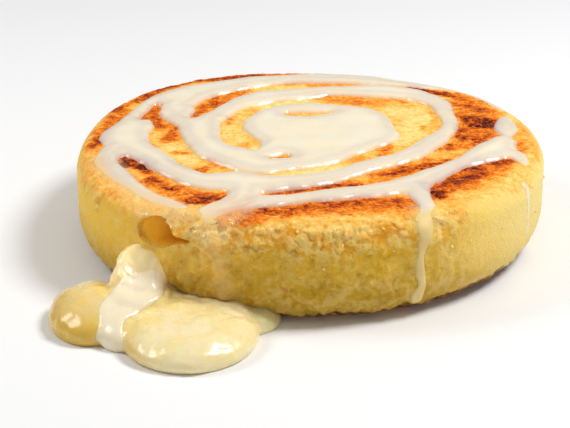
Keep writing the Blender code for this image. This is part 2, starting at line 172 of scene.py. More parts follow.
# Browning of the crust, painted in this order: strength, softness in mm, then (x, y, width) in mm.
BROWNED = (
    (0.30, 3.0, ((-34, 9, 7), (-33, 0, 9), (-28, -14, 11), (-22, -18, 8))),
    (0.16, 2.0, ((-33, -3, 3), (-30, -9, 5), (-26, -15, 4))),
    (0.72, 1.4, ((-31, 8, 2), (-31.5, 5.5, 2.4), (-32, 1, 3.6), (-33, -1, 2))),
    (0.66, 1.0, ((-37.5, -2, 1.6), (-35.5, -5, 1.2))),
    (0.70, 1.0, ((-31, -8.5, 1.2), (-27.5, -8.7, 1.2))),
    (0.78, 1.6, ((-30, -17.5, 2), (-28.5, -20, 2.6), (-25, -21.2, 2.4), (-23, -19, 1.5))),
    (0.50, 2.0, ((-22, -14, 3), (-19, -17, 4))),
    (0.20, 2.5, ((-17.5, 22, 6), (-19, 12, 5), (-17, 0, 6), (-14, -6, 5))),
    (0.52, 1.2, ((-20.5, 14.5, 1.6), (-18.5, 14.5, 1.6), (-18, 10, 1.2))),
    (0.50, 1.0, ((-16.5, -4.5, 1.6), (-14, -3, 1.2), (-17, -6.5, 1.2))),
    (0.66, 1.6, ((-39.5, 14, 4), (-37, 20, 4), (-36.5, 24, 3))),
    (0.72, 1.6, ((-36.5, 16, 3), (-34.5, 9, 4))),
    (0.56, 2.0, ((-27, 15, 3), (-24.5, 22, 5), (-21, 28, 6), (-18, 32, 5), (-16, 36, 4))),
    (0.72, 1.2, ((-25.5, 20, 1.5), (-23, 26, 2.4), (-20.5, 30.5, 2))),
    (0.20, 1.5, ((-12, 38.5, 3), (-2, 38, 4), (3, 38.5, 3))),
    (0.45, 1.4, ((-11, 41.5, 2.4), (-2, 42, 3), (6, 41.5, 2.4))),
    (0.40, 1.6, ((4, 41, 2.5), (14, 41, 2.5), (25, 40, 2.5))),
    (0.92, 1.4, ((28, 38.5, 3), (32, 34.5, 3.4), (37.5, 31.8, 2.6))),
    (0.12, 2.5, ((-13, 24, 4), (-5, 26, 3), (0, 28, 3))),
    (0.50, 2.2, ((3, 31, 4), (8, 29, 5), (14, 28, 5), (19, 27, 4))),
    (0.70, 1.4, ((22, 29.5, 2), (24.5, 28, 2.6))),
    (0.16, 3.0, ((22, 20, 8), (27, 18, 8), (26, 8, 9), (22, -2, 6))),
    (0.36, 1.8, ((30.5, 24, 2), (31.5, 14, 2), (30, 6, 2))),
    (0.50, 1.4, ((28, 8.5, 2.2), (27.6, 7.5, 2.0))),
    (0.56, 1.4, ((19, -5, 3), (17.5, -8.5, 3), (17.5, -11, 1.6))),
    (0.46, 1.4, ((13, -12.5, 3), (9.5, -14.5, 2.5))),
    (0.16, 2.0, ((5, -19, 4), (-2, -22, 3), (-6, -23, 3))),
    (0.60, 3.0, ((40, 29, 7), (41, 20, 9), (42, 10, 10), (40, 0, 9), (35, -6, 6), (29, -11, 6))),
    (0.93, 2.0, ((38, 15, 3), (41.5, 12, 7), (44.5, 10.5, 5), (41, 9, 5))),
    (0.80, 1.6, ((36, 8, 2.6), (37, 2, 3), (40, 0, 4))),
    (0.80, 1.2, ((33.5, -3.5, 2), (33, -5, 2))),
    (0.82, 1.2, ((31.5, -13, 2), (32.5, -12.5, 1.4))),
    (0.74, 1.6, ((38, 25, 2), (41, 24.5, 2), (44.5, 20, 2))),
    (0.32, 1.6, ((35, -8, 3), (28.5, -11, 4))),
    (0.82, 2.0, ((31, -15.5, 2.6), (24, -18, 4), (20, -21, 5), (16, -23, 3))),
    (0.46, 2.0, ((16, -26, 4), (13, -28, 3))),
    (0.80, 1.8, ((10, -28, 3), (7, -28.6, 3), (0, -31.2, 3), (-8, -33.8, 3))),
    (0.55, 3.0, ((-42, -14, 6), (-37, -22, 7), (-31, -29, 7), (-24, -36, 8), (-18, -36, 5))),
    (0.96, 1.6, ((-42, -13, 3.4), (-39, -16.5, 5), (-36, -19, 3.4))),
    (0.28, 1.4, ((-40, -19.5, 2), (-37, -23.5, 3))),
    (0.88, 1.3, ((-35, -25, 2), (-33.5, -26.5, 2.4))),
    (0.90, 1.4, ((-31.5, -30.5, 2.4), (-29.5, -31.2, 2.8))),
    (0.86, 1.6, ((-22.5, -34.5, 3), (-19.5, -35, 3), (-25.5, -38, 3), (-21, -38.8, 2))),
    (0.62, 3.0, ((-16, -46, 7), (-8, -45.6, 6), (2, -43.6, 6), (12, -41.5, 8), (20, -41, 7))),
    (0.80, 2.4, ((-13, -44.2, 3.4), (-6, -42.8, 3), (2, -40.6, 3.4), (9, -38.8, 3.4), (14, -36, 4))),
    (0.68, 2.2, ((15, -37, 3.5), (19, -38, 4), (20.5, -42, 3))),
    (0.64, 2.2, ((-16, -49, 3), (-12, -50, 3.4))),
    (0.60, 1.0, ((-8, -12.4, 2), (-5, -11.6, 2.4))),
    (0.62, 3.0, ((27, -32, 8), (34, -25, 11), (42, -18, 9), (47, -15, 4))),
    (1.00, 1.4, ((24.8, -30.5, 3), (27, -33, 4), (28.5, -35.5, 3.4))),
    (0.84, 1.6, ((30, -28.5, 3.4), (35, -23.5, 4.5), (38, -21, 3))),
    (0.80, 1.6, ((34, -18.5, 2.6), (38, -16, 3), (45, -14.5, 3))),
    (0.62, 2.2, ((-45, 24, 4), (-46.5, 16, 5), (-47.5, 9, 5), (-49, 2, 4), (-49.5, -5, 3))),
    (0.86, 1.4, ((-44.8, 23.5, 2), (-45.8, 21, 1.6))),
    (0.80, 1.4, ((-49, 1, 1.6), (-49.2, -3, 1.6))),
    (0.84, 2.0, ((-42, 28, 3), (-38, 35, 3), (-32, 42, 3.4), (-24, 45.6, 4), (-15, 48.2, 3.6), (-7, 50, 3))),
    (0.60, 2.0, ((-8, 50.5, 3), (0, 50.5, 2.6))),
    (0.78, 1.6, ((49.2, -1.5, 2), (49.8, -6, 2.4))),
    (0.36, 2.4, ((52, 10, 4), (52, 0, 5), (52, -8, 5))),
    (0.24, 3.0, ((51, -16, 7), (46, -26, 8), (38, -36, 8))),
)  # fmt: skip
REST_BROWNING = 0.30
BROWNING_WARP = 1.3 * MM

# The wall: the crust's ragged lower edge over the pale crumb, and where the crumb is torn rough. Four
# bearings say where a thing starts, is full, starts to fade and ends, and two where it starts and is full.
CRUST_END = 55.0 * MM  # way from the top's middle
CRUST_TORN = 3.6 * MM  # how much sooner it ends where the wall is torn
TORN_EDGE = np.radians((-134.0, -120.0, -52.0, -24.0))
CRUST_LIP = 0.5 * MM
FLAKE_SIZE = 3.4 * MM
FLAKE_HEIGHT = 0.65 * MM
FLAKE_WARP = 0.5 * MM
FLAKE_SPREAD = 2.4 * MM  # how unlike the flakes are in how far down they reach
FLAKE_BAND = MM * np.array((-1.5, 0.5, 2.5, 5.5))  # where flakes lie, as ways past the crust's edge
LEFT_FLAKES = np.radians((-168.0, -158.0, -146.0, -140.0))
LEFT_BAND = MM * np.array((-3.0, -1.0, 3.0, 5.0))
SOFT_EDGE = 2.6 * MM  # how softly the crust ends where the skin is whole
TORN_BEARINGS = np.radians((-136.0, -122.0, -66.0, -40.0))
TEAR_BEARINGS = np.radians((-137.0, -127.0, -112.0, -102.0))  # where the crust is torn away higher up
UNCRACKED = np.radians((-72.0, -60.0))
# Painted light: at these bearings, on the right, the skin is painted paler.
LIT_SKIN = np.radians((-75.0, -25.0, 10.0, 80.0))
FOOT_EDGE = 2.2 * MM
FOOT_SHOWS = np.radians((-78.0, -55.0, -30.0, -5.0))  # where the dark foot reaches higher
FOOT_RISE = 1.2 * MM
# Pairs of heights between which a look of the wall comes in: the painted shade of the crumb low down, the
# moist shoulder under the crust, and the rags where the crust is torn away.
LOW_SHADE = MM * np.array((15.0, 4.0))
SHOULDER = MM * np.array((14.5, 20.5))
RAGS = MM * np.array((6.0, 12.0))

# Its relief: rows of a height in mm, the size of the lumps in mm, and the layer of the noise.
TOP_WAVES = ((0.22, 13.0, 0), (0.11, 6.5, 1))
WALL_LUMPS = ((0.60, 7.0, 1), (0.45, 3.4, 2))
TEAR_LUMPS = ((1.00, 4.4, 16), (0.60, 2.1, 19))
TEAR_SWELL = 0.8
BLISTERS = ((0.14, 3.1, 6), (0.11, 1.5, 7))
GRAIN = ((0.192, 1.0, 13), (0.312, 2.0, 14))
FOOT_LUMPS = ((0.50, 1.5, 17), (0.40, 3.4, 18))
CRACK_DEPTH = 0.3
PIT_DEPTH = 0.4
# In the same form, how edges wander along the surface, and the noise whose zeros are the cracks.
EDGE_WAVES = ((1.2, 12.0, 3), (1.0, 4.5, 4), (0.6, 1.7, 5))
EDGE_BLOTCHES = ((1.08, 3.0, 42), (0.9, 1.3, 43))
FOOT_WAVES = ((1.6, 7.0, 40), (0.8, 1.8, 41))
MILK_WAVES = ((0.40, 6.5, 25), (0.26, 3.0, 20))
CRACK_LINES = ((1.0, 3.8, 22), (0.45, 1.5, 23))

# The tear, as in the solids.
TEAR_BEARING = -125.0
TEAR_HEIGHT = 17.7 * MM
TEAR_HALF_SIZE = Vector((8.0, 6.0, 3.7)) * MM  # along the radius, round the wall, up
TEAR_TILT = -6.0
# How far the hollow reaches to its right, to its left and down, as shares of that half size.
TEAR_DRAWN_OUT = 1.35
TEAR_LEFT = 0.9
TEAR_FLOOR = 0.7
# By which shares it gets lower towards its point at the right, and how much further up the point lies.
TEAR_NARROWS = 0.75
TEAR_POINT_RISE = 0.25
HOLLOW_GLOW = 0.11  # painted glow: emission that lights the tear's hollow, standing in for light that comes through the crumb
HOLLOW_DEPTHS = MM * np.array((0.3, 2.2))  # depths in the wall at which the hollow's painted shade comes in
TEAR_NEAR = 1.5  # how far the tear's looks reach, and its lips are softened, in half sizes
LIPS_NEAR = 1.4
LIPS_SMOOTHING = 6

# Loose crumbs lie in clusters at bearings drawn between two values, so many of each.
CRUMB_SEED = 5
CRUMB_CLUSTERS = ((-112, -40, 12), (-180, 180, 6))
# Single crumbs that stick to the wall: bearing, height in mm, size in mm.
SPECKS = (
    (-56.6, 15.0, 0.42), (-51.4, 15.2, 0.25), (-40.2, 15.0, 0.46), (-39.2, 14.4, 0.25), (-46.2, 10.4, 0.28),
    (-94.5, 17.0, 0.25), (-83.0, 19.0, 0.35), (-87.0, 14.0, 0.22), (-31.0, 17.5, 0.25), (-71.0, 16.4, 0.3),
    (-76.5, 10.2, 0.22), (-153.0, 19.0, 0.3), (-163.0, 14.0, 0.25), (-20.0, 12.0, 0.3), (-8.0, 16.0, 0.35),
    (24.0, 14.0, 0.3), (61.0, 10.0, 0.35), (97.0, 15.0, 0.3), (128.0, 12.0, 0.3), (160.0, 16.0, 0.35),
)  # fmt: skip

# The cheese, as in the solids: (x, y, z, half length along x, along y, along z) in mm.
CHEESE_LUMPS = (
    (-19.0, -25.0, 11.0, 8.0, 8.0, 2.8),
    (-26.5, -34.0, 10.8, 7.0, 7.0, 3.0),
    (-32.5, -41.0, 11.2, 6.0, 6.0, 3.1),
    (-35.5, -44.6, 11.0, 5.6, 4.8, 3.9),
    (-36.0, -46.5, 8.0, 6.4, 5.2, 4.4),
    (-35.0, -49.0, 4.6, 8.8, 7.8, 4.4),
    (-45.3, -50.6, 1.8, 9.6, 12.4, 5.4),
    (-36.5, -56.0, 1.2, 8.8, 9.4, 4.6),
    (-24.8, -57.4, 1.6, 14.9, 17.9, 5.3),
    (-12.0, -50.3, 0.8, 6.2, 7.2, 3.3),
)
CHEESE_CELL = 0.5 * MM
CHEESE_SMOOTHING = 16
CHEESE_BITE = 0.3 * MM  # how far the cheese sinks into the crumb round it
ROOM_CELL = 0.7 * MM  # of the room that is cut out of the cake for it
ROOM_SMOOTHING = 8
CHEESE_FLAT = 5.2 * MM  # height at which the main lobe's top flattens
CHEESE_FLATTENED = 0.45
SHADE_GLOW = 0.17  # painted glow: emission on the cheese and the milk in the shade of the cake, standing in for light that comes through them
SHADED = MM * np.array((6.0, 9.0))  # heights between which that painted glow comes in
HANGING = MM * np.array((7.0, 9.0))  # heights between which the cheese hangs out of the tear, where it is also painted lighter
# Where its lobes and zones begin and are full, in mm along x, y or z.
MAIN_LOBE = ((-41, -36), (-44, -48))
LEFT_LOBE = ((-38, -46), (-44, -50))
CURDS = ((4.0, 5.2), (-68, -62))
# The run of milk over it, and its milky lobe: (x, y, z, width) in mm.
CHEESE_RUN = (
    (-32.8, -49.6, 9.0, 6.0),
    (-34.5, -51.0, 8.0, 8.6),
    (-37.5, -53.5, 6.8, 9.0),
    (-40.0, -57.0, 5.6, 7.4),
    (-40.5, -61.0, 4.8, 5.0),
    (-41.2, -64.5, 2.8, 6.5),
    (-41.4, -67.0, 0.8, 8.0),
)
MILKY_LOBE = ((-16.0, -46.0, 2.0, 5.0), (-11.5, -51.0, 2.6, 7.0), (-9.5, -54.5, 1.4, 6.0))


# Sums on arrays of places


def ease(low, high, value):
    """A smooth step from 0 at low to 1 at high."""
    share = np.clip((value - low) / (high - low), 0.0, 1.0)
    return share * share * (3.0 - 2.0 * share)


SHUFFLE = np.random.default_rng(11).permutation(256)
SLOPES = np.random.default_rng(12).normal(size=(256, 3))
SLOPES /= np.linalg.norm(SLOPES, axis=1)[:, None]
SCATTER = np.random.default_rng(13).random((256, 3))


def drawn(cell):
    """A number from 0 to 255 that stays the same for a cell of whole numbers."""
    x, y, z = (cell & 255).T
    return SHUFFLE[(SHUFFLE[(SHUFFLE[x] + y) & 255] + z) & 255]


def noise(points, size, layer=0):
    """Smooth noise, about -1 to 1, at every point, with lumps of about that size."""
    where = points / size + 31.7 * layer
    cell = np.floor(where).astype(int)
    part = where - cell
    eased = part**3 * (part * (part * 6.0 - 15.0) + 10.0)
    found = np.zeros(len(points))
    for corner in np.ndindex(2, 2, 2):
        step = np.array(corner)
        pick = drawn(cell + step)
        weight = np.where(step, eased, 1.0 - eased).prod(axis=1)
        found += weight * (SLOPES[pick] * (part - step)).sum(axis=1)
    return 1.7 * found


def lumpy(points, rows):
    """Noise of several kinds, each given by its height, the size of its lumps in mm and its layer."""
    return sum(height * noise(points, size * MM, layer) for height, size, layer in rows)


def flaked(points, size, layer):
    """Splits space into flakes round scattered middles. For every point: how far inside its flake's border
    it lies, from 0, how far it lies from the middle, in metres, and three random numbers of the flake."""
    where = points / size + 31.7 * layer
    home = np.floor(where).astype(int)
    nearest, second = np.full(len(points), 9.0), np.full(len(points), 9.0)
    off, chosen = np.zeros_like(where), np.zeros(len(points), int)
    for corner in np.ndindex(3, 3, 3):
        cell = home + np.array(corner) - 1
        pick = drawn(cell)
        way = where - cell - SCATTER[pick]
        gap = np.linalg.norm(way, axis=1)
        nearer = gap < nearest
        second = np.where(nearer, nearest, np.minimum(second, gap))
        nearest = np.where(nearer, gap, nearest)
        chosen = np.where(nearer, pick, chosen)
        off[nearer] = way[nearer]
    return second - nearest, off * size, SCATTER[(chosen * 7 + 3) % 256]


def flat(plan):
    """Plan places as points, for noise."""
    return np.column_stack([plan, np.zeros(len(plan))])


def waves(table, angle):
    """Waves round the cake, in metres, from rows of their number, cosine part and sine part."""
    return sum(MM * (c * np.cos(n * angle) + s * np.sin(n * angle)) for n, c, s in table)


def through(points, step):
    """A smooth curve through rows of numbers, sampled about every step of its first two."""
    rows = np.array(points, float)
    rows = np.vstack([2 * rows[0] - rows[1], rows, 2 * rows[-1] - rows[-2]])
    found = []
    for before, start, end, after in zip(rows, rows[1:], rows[2:], rows[3:]):
        pieces = max(1, round(np.hypot(*(end - start)[:2]) / step))
        t = np.arange(pieces)[:, None] / pieces
        bend = 2 * before - 5 * start + 4 * end - after
        twist = 3 * start - before - 3 * end + after
        found.append(0.5 * (2 * start + t * (end - before) + t**2 * bend + t**3 * twist))
    return np.vstack([*found, rows[-2:-1]])


def strand(bends):
    """A strand's bends, with widths in mm, as a smooth line of places with half widths, in metres."""
    line = through(bends, 2.0) * MM
    line[:, -1] /= 2
    return line


def inside(places, line):
    """How far every place lies inside a strand, negative outside it, down to -FAR. The strand is halved
    until a single stretch is left, and only the places near each half are looked at."""
    depth = np.full(len(places), -FAR)
    room = line[:, -1].max() + FAR
    low, high = line[:, :-1].min(axis=0) - room, line[:, :-1].max(axis=0) + room
    bounded = [(column > a) & (column < b) for column, a, b in zip(places.T, low, high)]
    near = np.flatnonzero(np.logical_and.reduce(bounded))
    if not len(near):
        return depth
    if len(line) > 2:
        middle = len(line) // 2
        halves = [inside(places[near], half) for half in (line[: middle + 1], line[middle:])]
        depth[near] = np.maximum(*halves)
        return depth
    start, end = line
    along = (end - start)[:-1]
    share = np.clip((places[near] - start[:-1]) @ along / (along @ along + 1e-12), 0, 1)
    knot = start + share[:, None] * (end - start)
    depth[near] = np.maximum(-FAR, knot[:, -1] - np.linalg.norm(places[near] - knot[:, :-1], axis=1))
    return depth


def merged(depths, softness):
    """The union of several shapes given by their depths, with softened inner corners."""
    return softness * np.logaddexp.reduce(np.array(depths) / softness, axis=0)


# The cake's surface


def growth(angle):
    """How much further out the cake's wall is at a bearing than on average."""
    return 1.0 + waves(OUT_OF_ROUND, angle) / CAKE_RADIUS


def section(way):
    """The cake's section at a way from the top's middle: radius, height, and the two parts of its normal."""
    rim = np.clip((way - TOP_FLAT) / TOP_ROUNDING, 0.0, pi / 2)
    down = np.clip(way - RIM_END, 0.0, WALL_END - RIM_END)
    foot = np.clip((way - WALL_END) / FOOT_ROUNDING, 0.0, pi / 2)
    radius = np.minimum(way, TOP_FLAT) + TOP_ROUNDING * np.sin(rim) - FOOT_ROUNDING * (1 - np.cos(foot))
    radius = radius - np.maximum(0.0, way - FOOT_END)
    height = CAKE_HEIGHT - TOP_ROUNDING * (1 - np.cos(rim)) - down - FOOT_ROUNDING * np.sin(foot)
    return radius, height, np.sin(rim + foot), np.cos(rim + foot)


def on_cake(way, angle, lift=0.0):
    """Points that stand out by lift from the cake's smooth form."""
    radius, height, out, up = section(way)
    radius = radius * growth(angle) + lift * out
    return np.stack([radius * np.cos(angle), radius * np.sin(angle), height + lift * up], axis=-1)


def way_down(height):
    """The way from the top's middle to a height, or to many, on the rim, the wall or the foot."""
    return np.interp(-height, -section(SIDE_WAYS)[1], SIDE_WAYS)


def rolled_out(way, angle):
    """Plan places of ways and bearings."""
    return (way * growth(angle) * np.stack([np.cos(angle), np.sin(angle)])).T


def rolled_up(plan):
    """Ways and bearings of plan places."""
    angle = np.arctan2(plan[:, 1], plan[:, 0])
    return np.hypot(*plan.T) / growth(angle), angle


def wall_line(knots):
    """A run down the wall as a line in plan; its widths grow as the plan does."""
    found = []
    for bearing, height, half in through(knots, 1.0):
        way = way_down(height * MM)
        stretch = way / section(way)[0]
        found.append((*rolled_out(way, radians(bearing)), half * MM * stretch))
    return np.array(found)


def between(limits, value):
    """1 between the middle two of four limits, falling to 0 at the outer two."""
    low, full, fade, end = limits
    return ease(low, full, value) * (1 - ease(fade, end, value))


def torn(angle):
    """1 where the wall is torn rough, at the front, and 0.3 where its skin is whole."""
    return 0.3 + 0.7 * between(TORN_BEARINGS, angle)


def roughness(angle):
    """1 where the wall is torn rough, and 0 where its skin is whole."""
    return ease(0.3, 1.0, torn(angle))


def crust_edge(angle):
    """Way from the top's middle to the crust's ragged edge at every bearing."""
    ring = CAKE_RADIUS * np.stack([np.cos(angle), np.sin(angle), np.zeros(len(angle))], axis=1)
    return CRUST_END - CRUST_TORN * between(TORN_EDGE, angle) + MM * lumpy(ring, EDGE_WAVES)


def soft_relief(points, way, angle):
    """Waves of the top and lumps of the wall, which the milk follows too."""
    top = 1 - ease(TOP_FLAT, RIM_END, way)
    wall = ease(TOP_FLAT + 2 * MM, RIM_END, way) * (1 - ease(WALL_END + 6 * MM, FOOT_END, way))
    lumps = lumpy(points, WALL_LUMPS) * torn(angle) ** 2
    lumps += between(TEAR_BEARINGS, angle) * (TEAR_SWELL + lumpy(points, TEAR_LUMPS))
    return MM * (lumpy(points, TOP_WAVES) * top + lumps * wall)


def crust_flakes(points, way, angle):
    """The crust's edge, which breaks up into flakes where the wall is torn. Returns how much of every place
    is crust, how much is flake, how high the flake stands there, and how much is a slot between flakes."""
    rough, past = roughness(angle), way - crust_edge(angle)
    warp = np.stack([noise(points, 1.9 * MM, layer) for layer in (60, 61, 62)], axis=1)
    border, off, draw = flaked(points + FLAKE_WARP * warp, FLAKE_SIZE, 5)
    _, _, out, up = section(way)
    along = (off[:, 0] * np.cos(angle) + off[:, 1] * np.sin(angle)) * up - off[:, 2] * out
    middle = past - along + (draw[:, 1] - 0.5) * FLAKE_SPREAD
    ragged = 1 - ease(-0.3 * MM, 0.3 * MM, middle)
    soft = 1 - ease(-SOFT_EDGE, SOFT_EDGE, past + MM * lumpy(points, EDGE_BLOTCHES))
    crust = soft + (ragged - soft) * ease(0.1, 0.6, rough)
    near = between(FLAKE_BAND, past) * ease(0.1, 0.6, rough) * (1 - 0.6 * ragged)
    left = between(LEFT_BAND, past) * between(LEFT_FLAKES, angle) * ease(0.5, 0.6, draw[:, 1])
    near = np.maximum(near, left)
    kept = ease(0.25, 0.6, draw[:, 0] + 0.35 * noise(points, 9 * MM, 63))
    flake = near * kept * ease(0.0, 0.10, border)
    plate = FLAKE_HEIGHT / MM * flake * (0.7 + along / FLAKE_SIZE)
    return crust, flake, plate, near * (1 - kept) * (1 - crust) * rough


def fine_relief(points, way, angle, browning):
    """The crust's blisters, its lip and flakes, the crumb's cracks, pits and grain, and the ragged foot.
    Returns the relief and, for the finish, how much of every place is crust, flake and crack."""
    wall = ease(TOP_FLAT - 6 * MM, TOP_FLAT - 2 * MM, way) * (1 - ease(WALL_END + 9 * MM, FOOT_END, way))
    rough = roughness(angle)
    crust, flake, plate, slot = crust_flakes(points, way, angle)
    blisters = lumpy(points, BLISTERS) + (0.06 + 0.10 * browning) * noise(points, 0.9 * MM, 8)
    crack = 1 - ease(0.03, 0.16, np.abs(lumpy(points, CRACK_LINES)))
    crack *= ease(0.2, 0.5, noise(points, 5.0 * MM, 24))
    crack *= 1 - np.maximum(between(TEAR_BEARINGS, angle), ease(*UNCRACKED, angle))
    pits = ease(0.45, 0.8, noise(points, 2.0 * MM, 12))
    crumb = rough * (lumpy(points, GRAIN) - CRACK_DEPTH * crack - PIT_DEPTH * pits)
    crumb += 0.05 * noise(points, 0.9 * MM, 15)
    foot = 1 - ease(FOOT_EDGE, FOOT_EDGE + 3 * MM, points[:, 2])
    crumb += foot * lumpy(points, FOOT_LUMPS)

    share = wall * (1 - crust)
    step = 0.5 * CRUST_LIP / MM * rough
    relief = (blisters + wall * step) * (1 - share) + (crumb - step) * share + plate * wall
    return MM * relief, crust, flake, np.maximum(crack * share * rough, slot)


def milk_depth(plan):
    """How far every plan place lies inside the edge of the milk on the cake; negative outside it."""
    runs = [strand(INNER_STRAND), strand(OUTER_STRAND), *map(strand, SHORT_STRANDS)]
    runs += map(wall_line, WALL_RUNS)
    outline = through((*POOL_OUTLINE, POOL_OUTLINE[0]), 2.0) - POOL_CENTRE
    around = np.arctan2(outline[:, 1], outline[:, 0])
    off = plan - np.array(POOL_CENTRE) * MM
    edge = np.interp(np.arctan2(off[:, 1], off[:, 0]), around, np.hypot(*outline.T) * MM, period=2 * pi)
    pool = np.maximum(edge - np.hypot(*off.T), -FAR)
    depth = merged([pool, *(inside(plan, run) for run in runs)], MILK_MERGE)
    bare = merged([inside(plan, strand(spot)) for spot in BARE_SPOTS], MILK_MERGE)
    depth = -merged([-depth, bare], 0.4 * MM)
    return depth + MM * lumpy(flat(plan), MILK_WAVES)


def browned(plan):
    """How brown the crust is at every plan place, 0 to 1."""
    spots = flat(plan)
    warp = np.stack([lumpy(spots, ((1.0, 4.0, layer), (0.5, 1.7, layer + 2))) for layer in (30, 31)], axis=1)
    where = plan + BROWNING_WARP * warp
    brown = REST_BROWNING + 0.12 * noise(spots, 9.0 * MM, 34)
    for strength, softness, bends in BROWNED:
        share = ease(-softness * MM, softness * MM, inside(where, strand(bends)))
        brown = brown + share * (strength - brown)
    return np.clip(brown, 0.0, 1.0)


# Meshes


def link(name, data):
    """A new object in the scene."""
    made = bpy.data.objects.new(name, data)
    bpy.context.scene.collection.objects.link(made)
    return made


def mesh_object(name, points, faces):
    """A new object from its vertices and faces."""
    mesh = bpy.data.meshes.new(name)
    mesh.from_pydata(np.asarray(points).tolist(), [], [list(map(int, face)) for face in faces])
    mesh.validate()
    return link(name, mesh)


def places_of(thing):
    """The object's vertices as an array."""
    found = np.empty(3 * len(thing.data.vertices))
    thing.data.vertices.foreach_get("co", found)
    return found.reshape(-1, 3)


def move_to(thing, points):
    """Moves the object's vertices."""
    thing.data.vertices.foreach_set("co", np.asarray(points, np.float32).ravel())
    thing.data.update()


def normals_of(thing):
    """The normals of the object's vertices as an array."""
    found = np.empty(3 * len(thing.data.vertices))
    thing.data.vertex_normals.foreach_get("vector", found)
    return found.reshape(-1, 3)


def mark(thing, **values):
    """Stores numbers on the object's vertices, for its material."""
    for name, value in values.items():
        spread = thing.data.attributes.new(name, "FLOAT", "POINT")
        spread.data.foreach_set("value", np.asarray(value, np.float32))


def baked(thing):
    """The object with its modifiers applied."""
    bpy.context.view_layer.update()
    graph = bpy.context.evaluated_depsgraph_get()
    mesh = bpy.data.meshes.new_from_object(thing.evaluated_get(graph))
    mesh.transform(thing.matrix_world)
    thing.modifiers.clear()
    thing.matrix_world = Matrix.Identity(4)
    thing.data = mesh
    return thing


def cut(target, *tools):
    """Cuts the tools out of the target, and removes them."""
    holder = bpy.data.collections.new("tools")
    for tool in tools:
        holder.objects.link(tool)
    modifier = target.modifiers.new("cut", "BOOLEAN")
    modifier.operand_type = "COLLECTION"
    modifier.collection = holder
    modifier.solver = "MANIFOLD"
    baked(target)
    for tool in tools:
        bpy.data.objects.remove(tool, do_unlink=True)
    bpy.data.collections.remove(holder)


def finished(thing, material, slot, *nodes):
    """Smooth faces, the finish, and the piece's place in the frame."""
    thing.data.materials.clear()
    thing.data.materials.append(material)
    thing.data.shade_smooth()
    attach(thing, "root")
    if nodes:
        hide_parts(*nodes)


def coat(name, points, normals, faces, depth, rise, sink, **marks):
    """A closed sheet of milk on a surface: it rises by rise above the points and dips by sink below them.
    Only the faces that lie at least partly inside its edge are used. It keeps the marks of its points."""
    faces = faces[(depth[faces] > -1.6 * MILK_CELL).all(axis=1) & (depth[faces] > -MILK_CELL / 2).any(axis=1)]
    used, faces = np.unique(faces, return_inverse=True)
    faces = faces.reshape(-1, 4)
    points, normals, depth = points[used], normals[used], depth[used]
    upper = points + normals * rise[used][:, None]
    lower = points - normals * (sink + np.maximum(0.0, -rise[used]))[:, None]
    sides = np.vstack([faces[:, [i, (i + 1) % 4]] for i in range(4)])
    key = np.sort(sides, axis=1) @ (len(points), 1)
    _, first, count = np.unique(key, return_index=True, return_counts=True)
    rim = sides[first[count == 1]]
    below = faces[:, ::-1] + len(points)
    around = np.column_stack([rim[:, 1], rim[:, 0], rim[:, 0] + len(points), rim[:, 1] + len(points)])
    made = mesh_object(name, np.vstack([upper, lower]), np.vstack([faces, below, around]))
    mark(made, depth=np.tile(depth, 2), **{name: np.tile(value[used], 2) for name, value in marks.items()})
    return made


def milk_rise(depth, thickness):
    """Height of the milk above what it lies on: a rounded edge, then a slow swelling; it dips outside."""
    edge = 1 - np.clip(depth / MILK_ROUNDING, 0.0, 1.0)
    inner = thickness * (0.86 * np.sqrt(1 - edge**2) + 0.14 * ease(0.0, 4.0 * MM, depth))
    return np.where(depth > 0, inner, 1.3 * depth)


def onto_edge(places, depth_of):
    """Moves the places close to the milk's edge onto it, and returns all places with their depths."""
    depth = depth_of(places)
    near = np.abs(depth) < MILK_CELL / 2
    probe = 0.02 * MM
    slope = np.stack(
        [(depth_of(places[near] + probe * axis) - depth[near]) / probe for axis in np.eye(places.shape[1])],
        axis=1,
    )
    steep = np.maximum((slope**2).sum(axis=1), 0.3)
    places[near] -= slope * (depth[near] / steep)[:, None]
    depth[near] = depth_of(places[near])
    return places, depth


# Materials


def srgb(*levels):
    """A colour in a screen's levels of 0 to 255, as the shader's linear values."""
    shares = np.array(levels) / 255
    return tuple(float(s / 12.92 if s <= 0.04045 else ((s + 0.055) / 1.055) ** 2.4) for s in shares)


class Value:
    """An output of a node in a finish. Sums with it add Math nodes."""

    def __init__(self, finish, socket):
        self.finish, self.socket = finish, socket

    def sum(self, operation, *terms):
        """A Math node over the terms."""
        return self.finish.add("ShaderNodeMath", {"operation": operation}, dict(enumerate(terms)))

    def __add__(self, other):
        return self.sum("ADD", self, other)

    __radd__ = __add__

    def __sub__(self, other):
        return self.sum("SUBTRACT", self, other)

    def __rsub__(self, other):
        return self.sum("SUBTRACT", other, self)

    def __mul__(self, other):
        return self.sum("MULTIPLY", self, other)

    __rmul__ = __mul__

    def eased(self, low, high):
        """A smooth step from 0 at low to 1 at high."""
        kind = {"interpolation_type": "SMOOTHSTEP"}
        return self.finish.add("ShaderNodeMapRange", kind, {"Value": self, "From Min": low, "From Max": high})


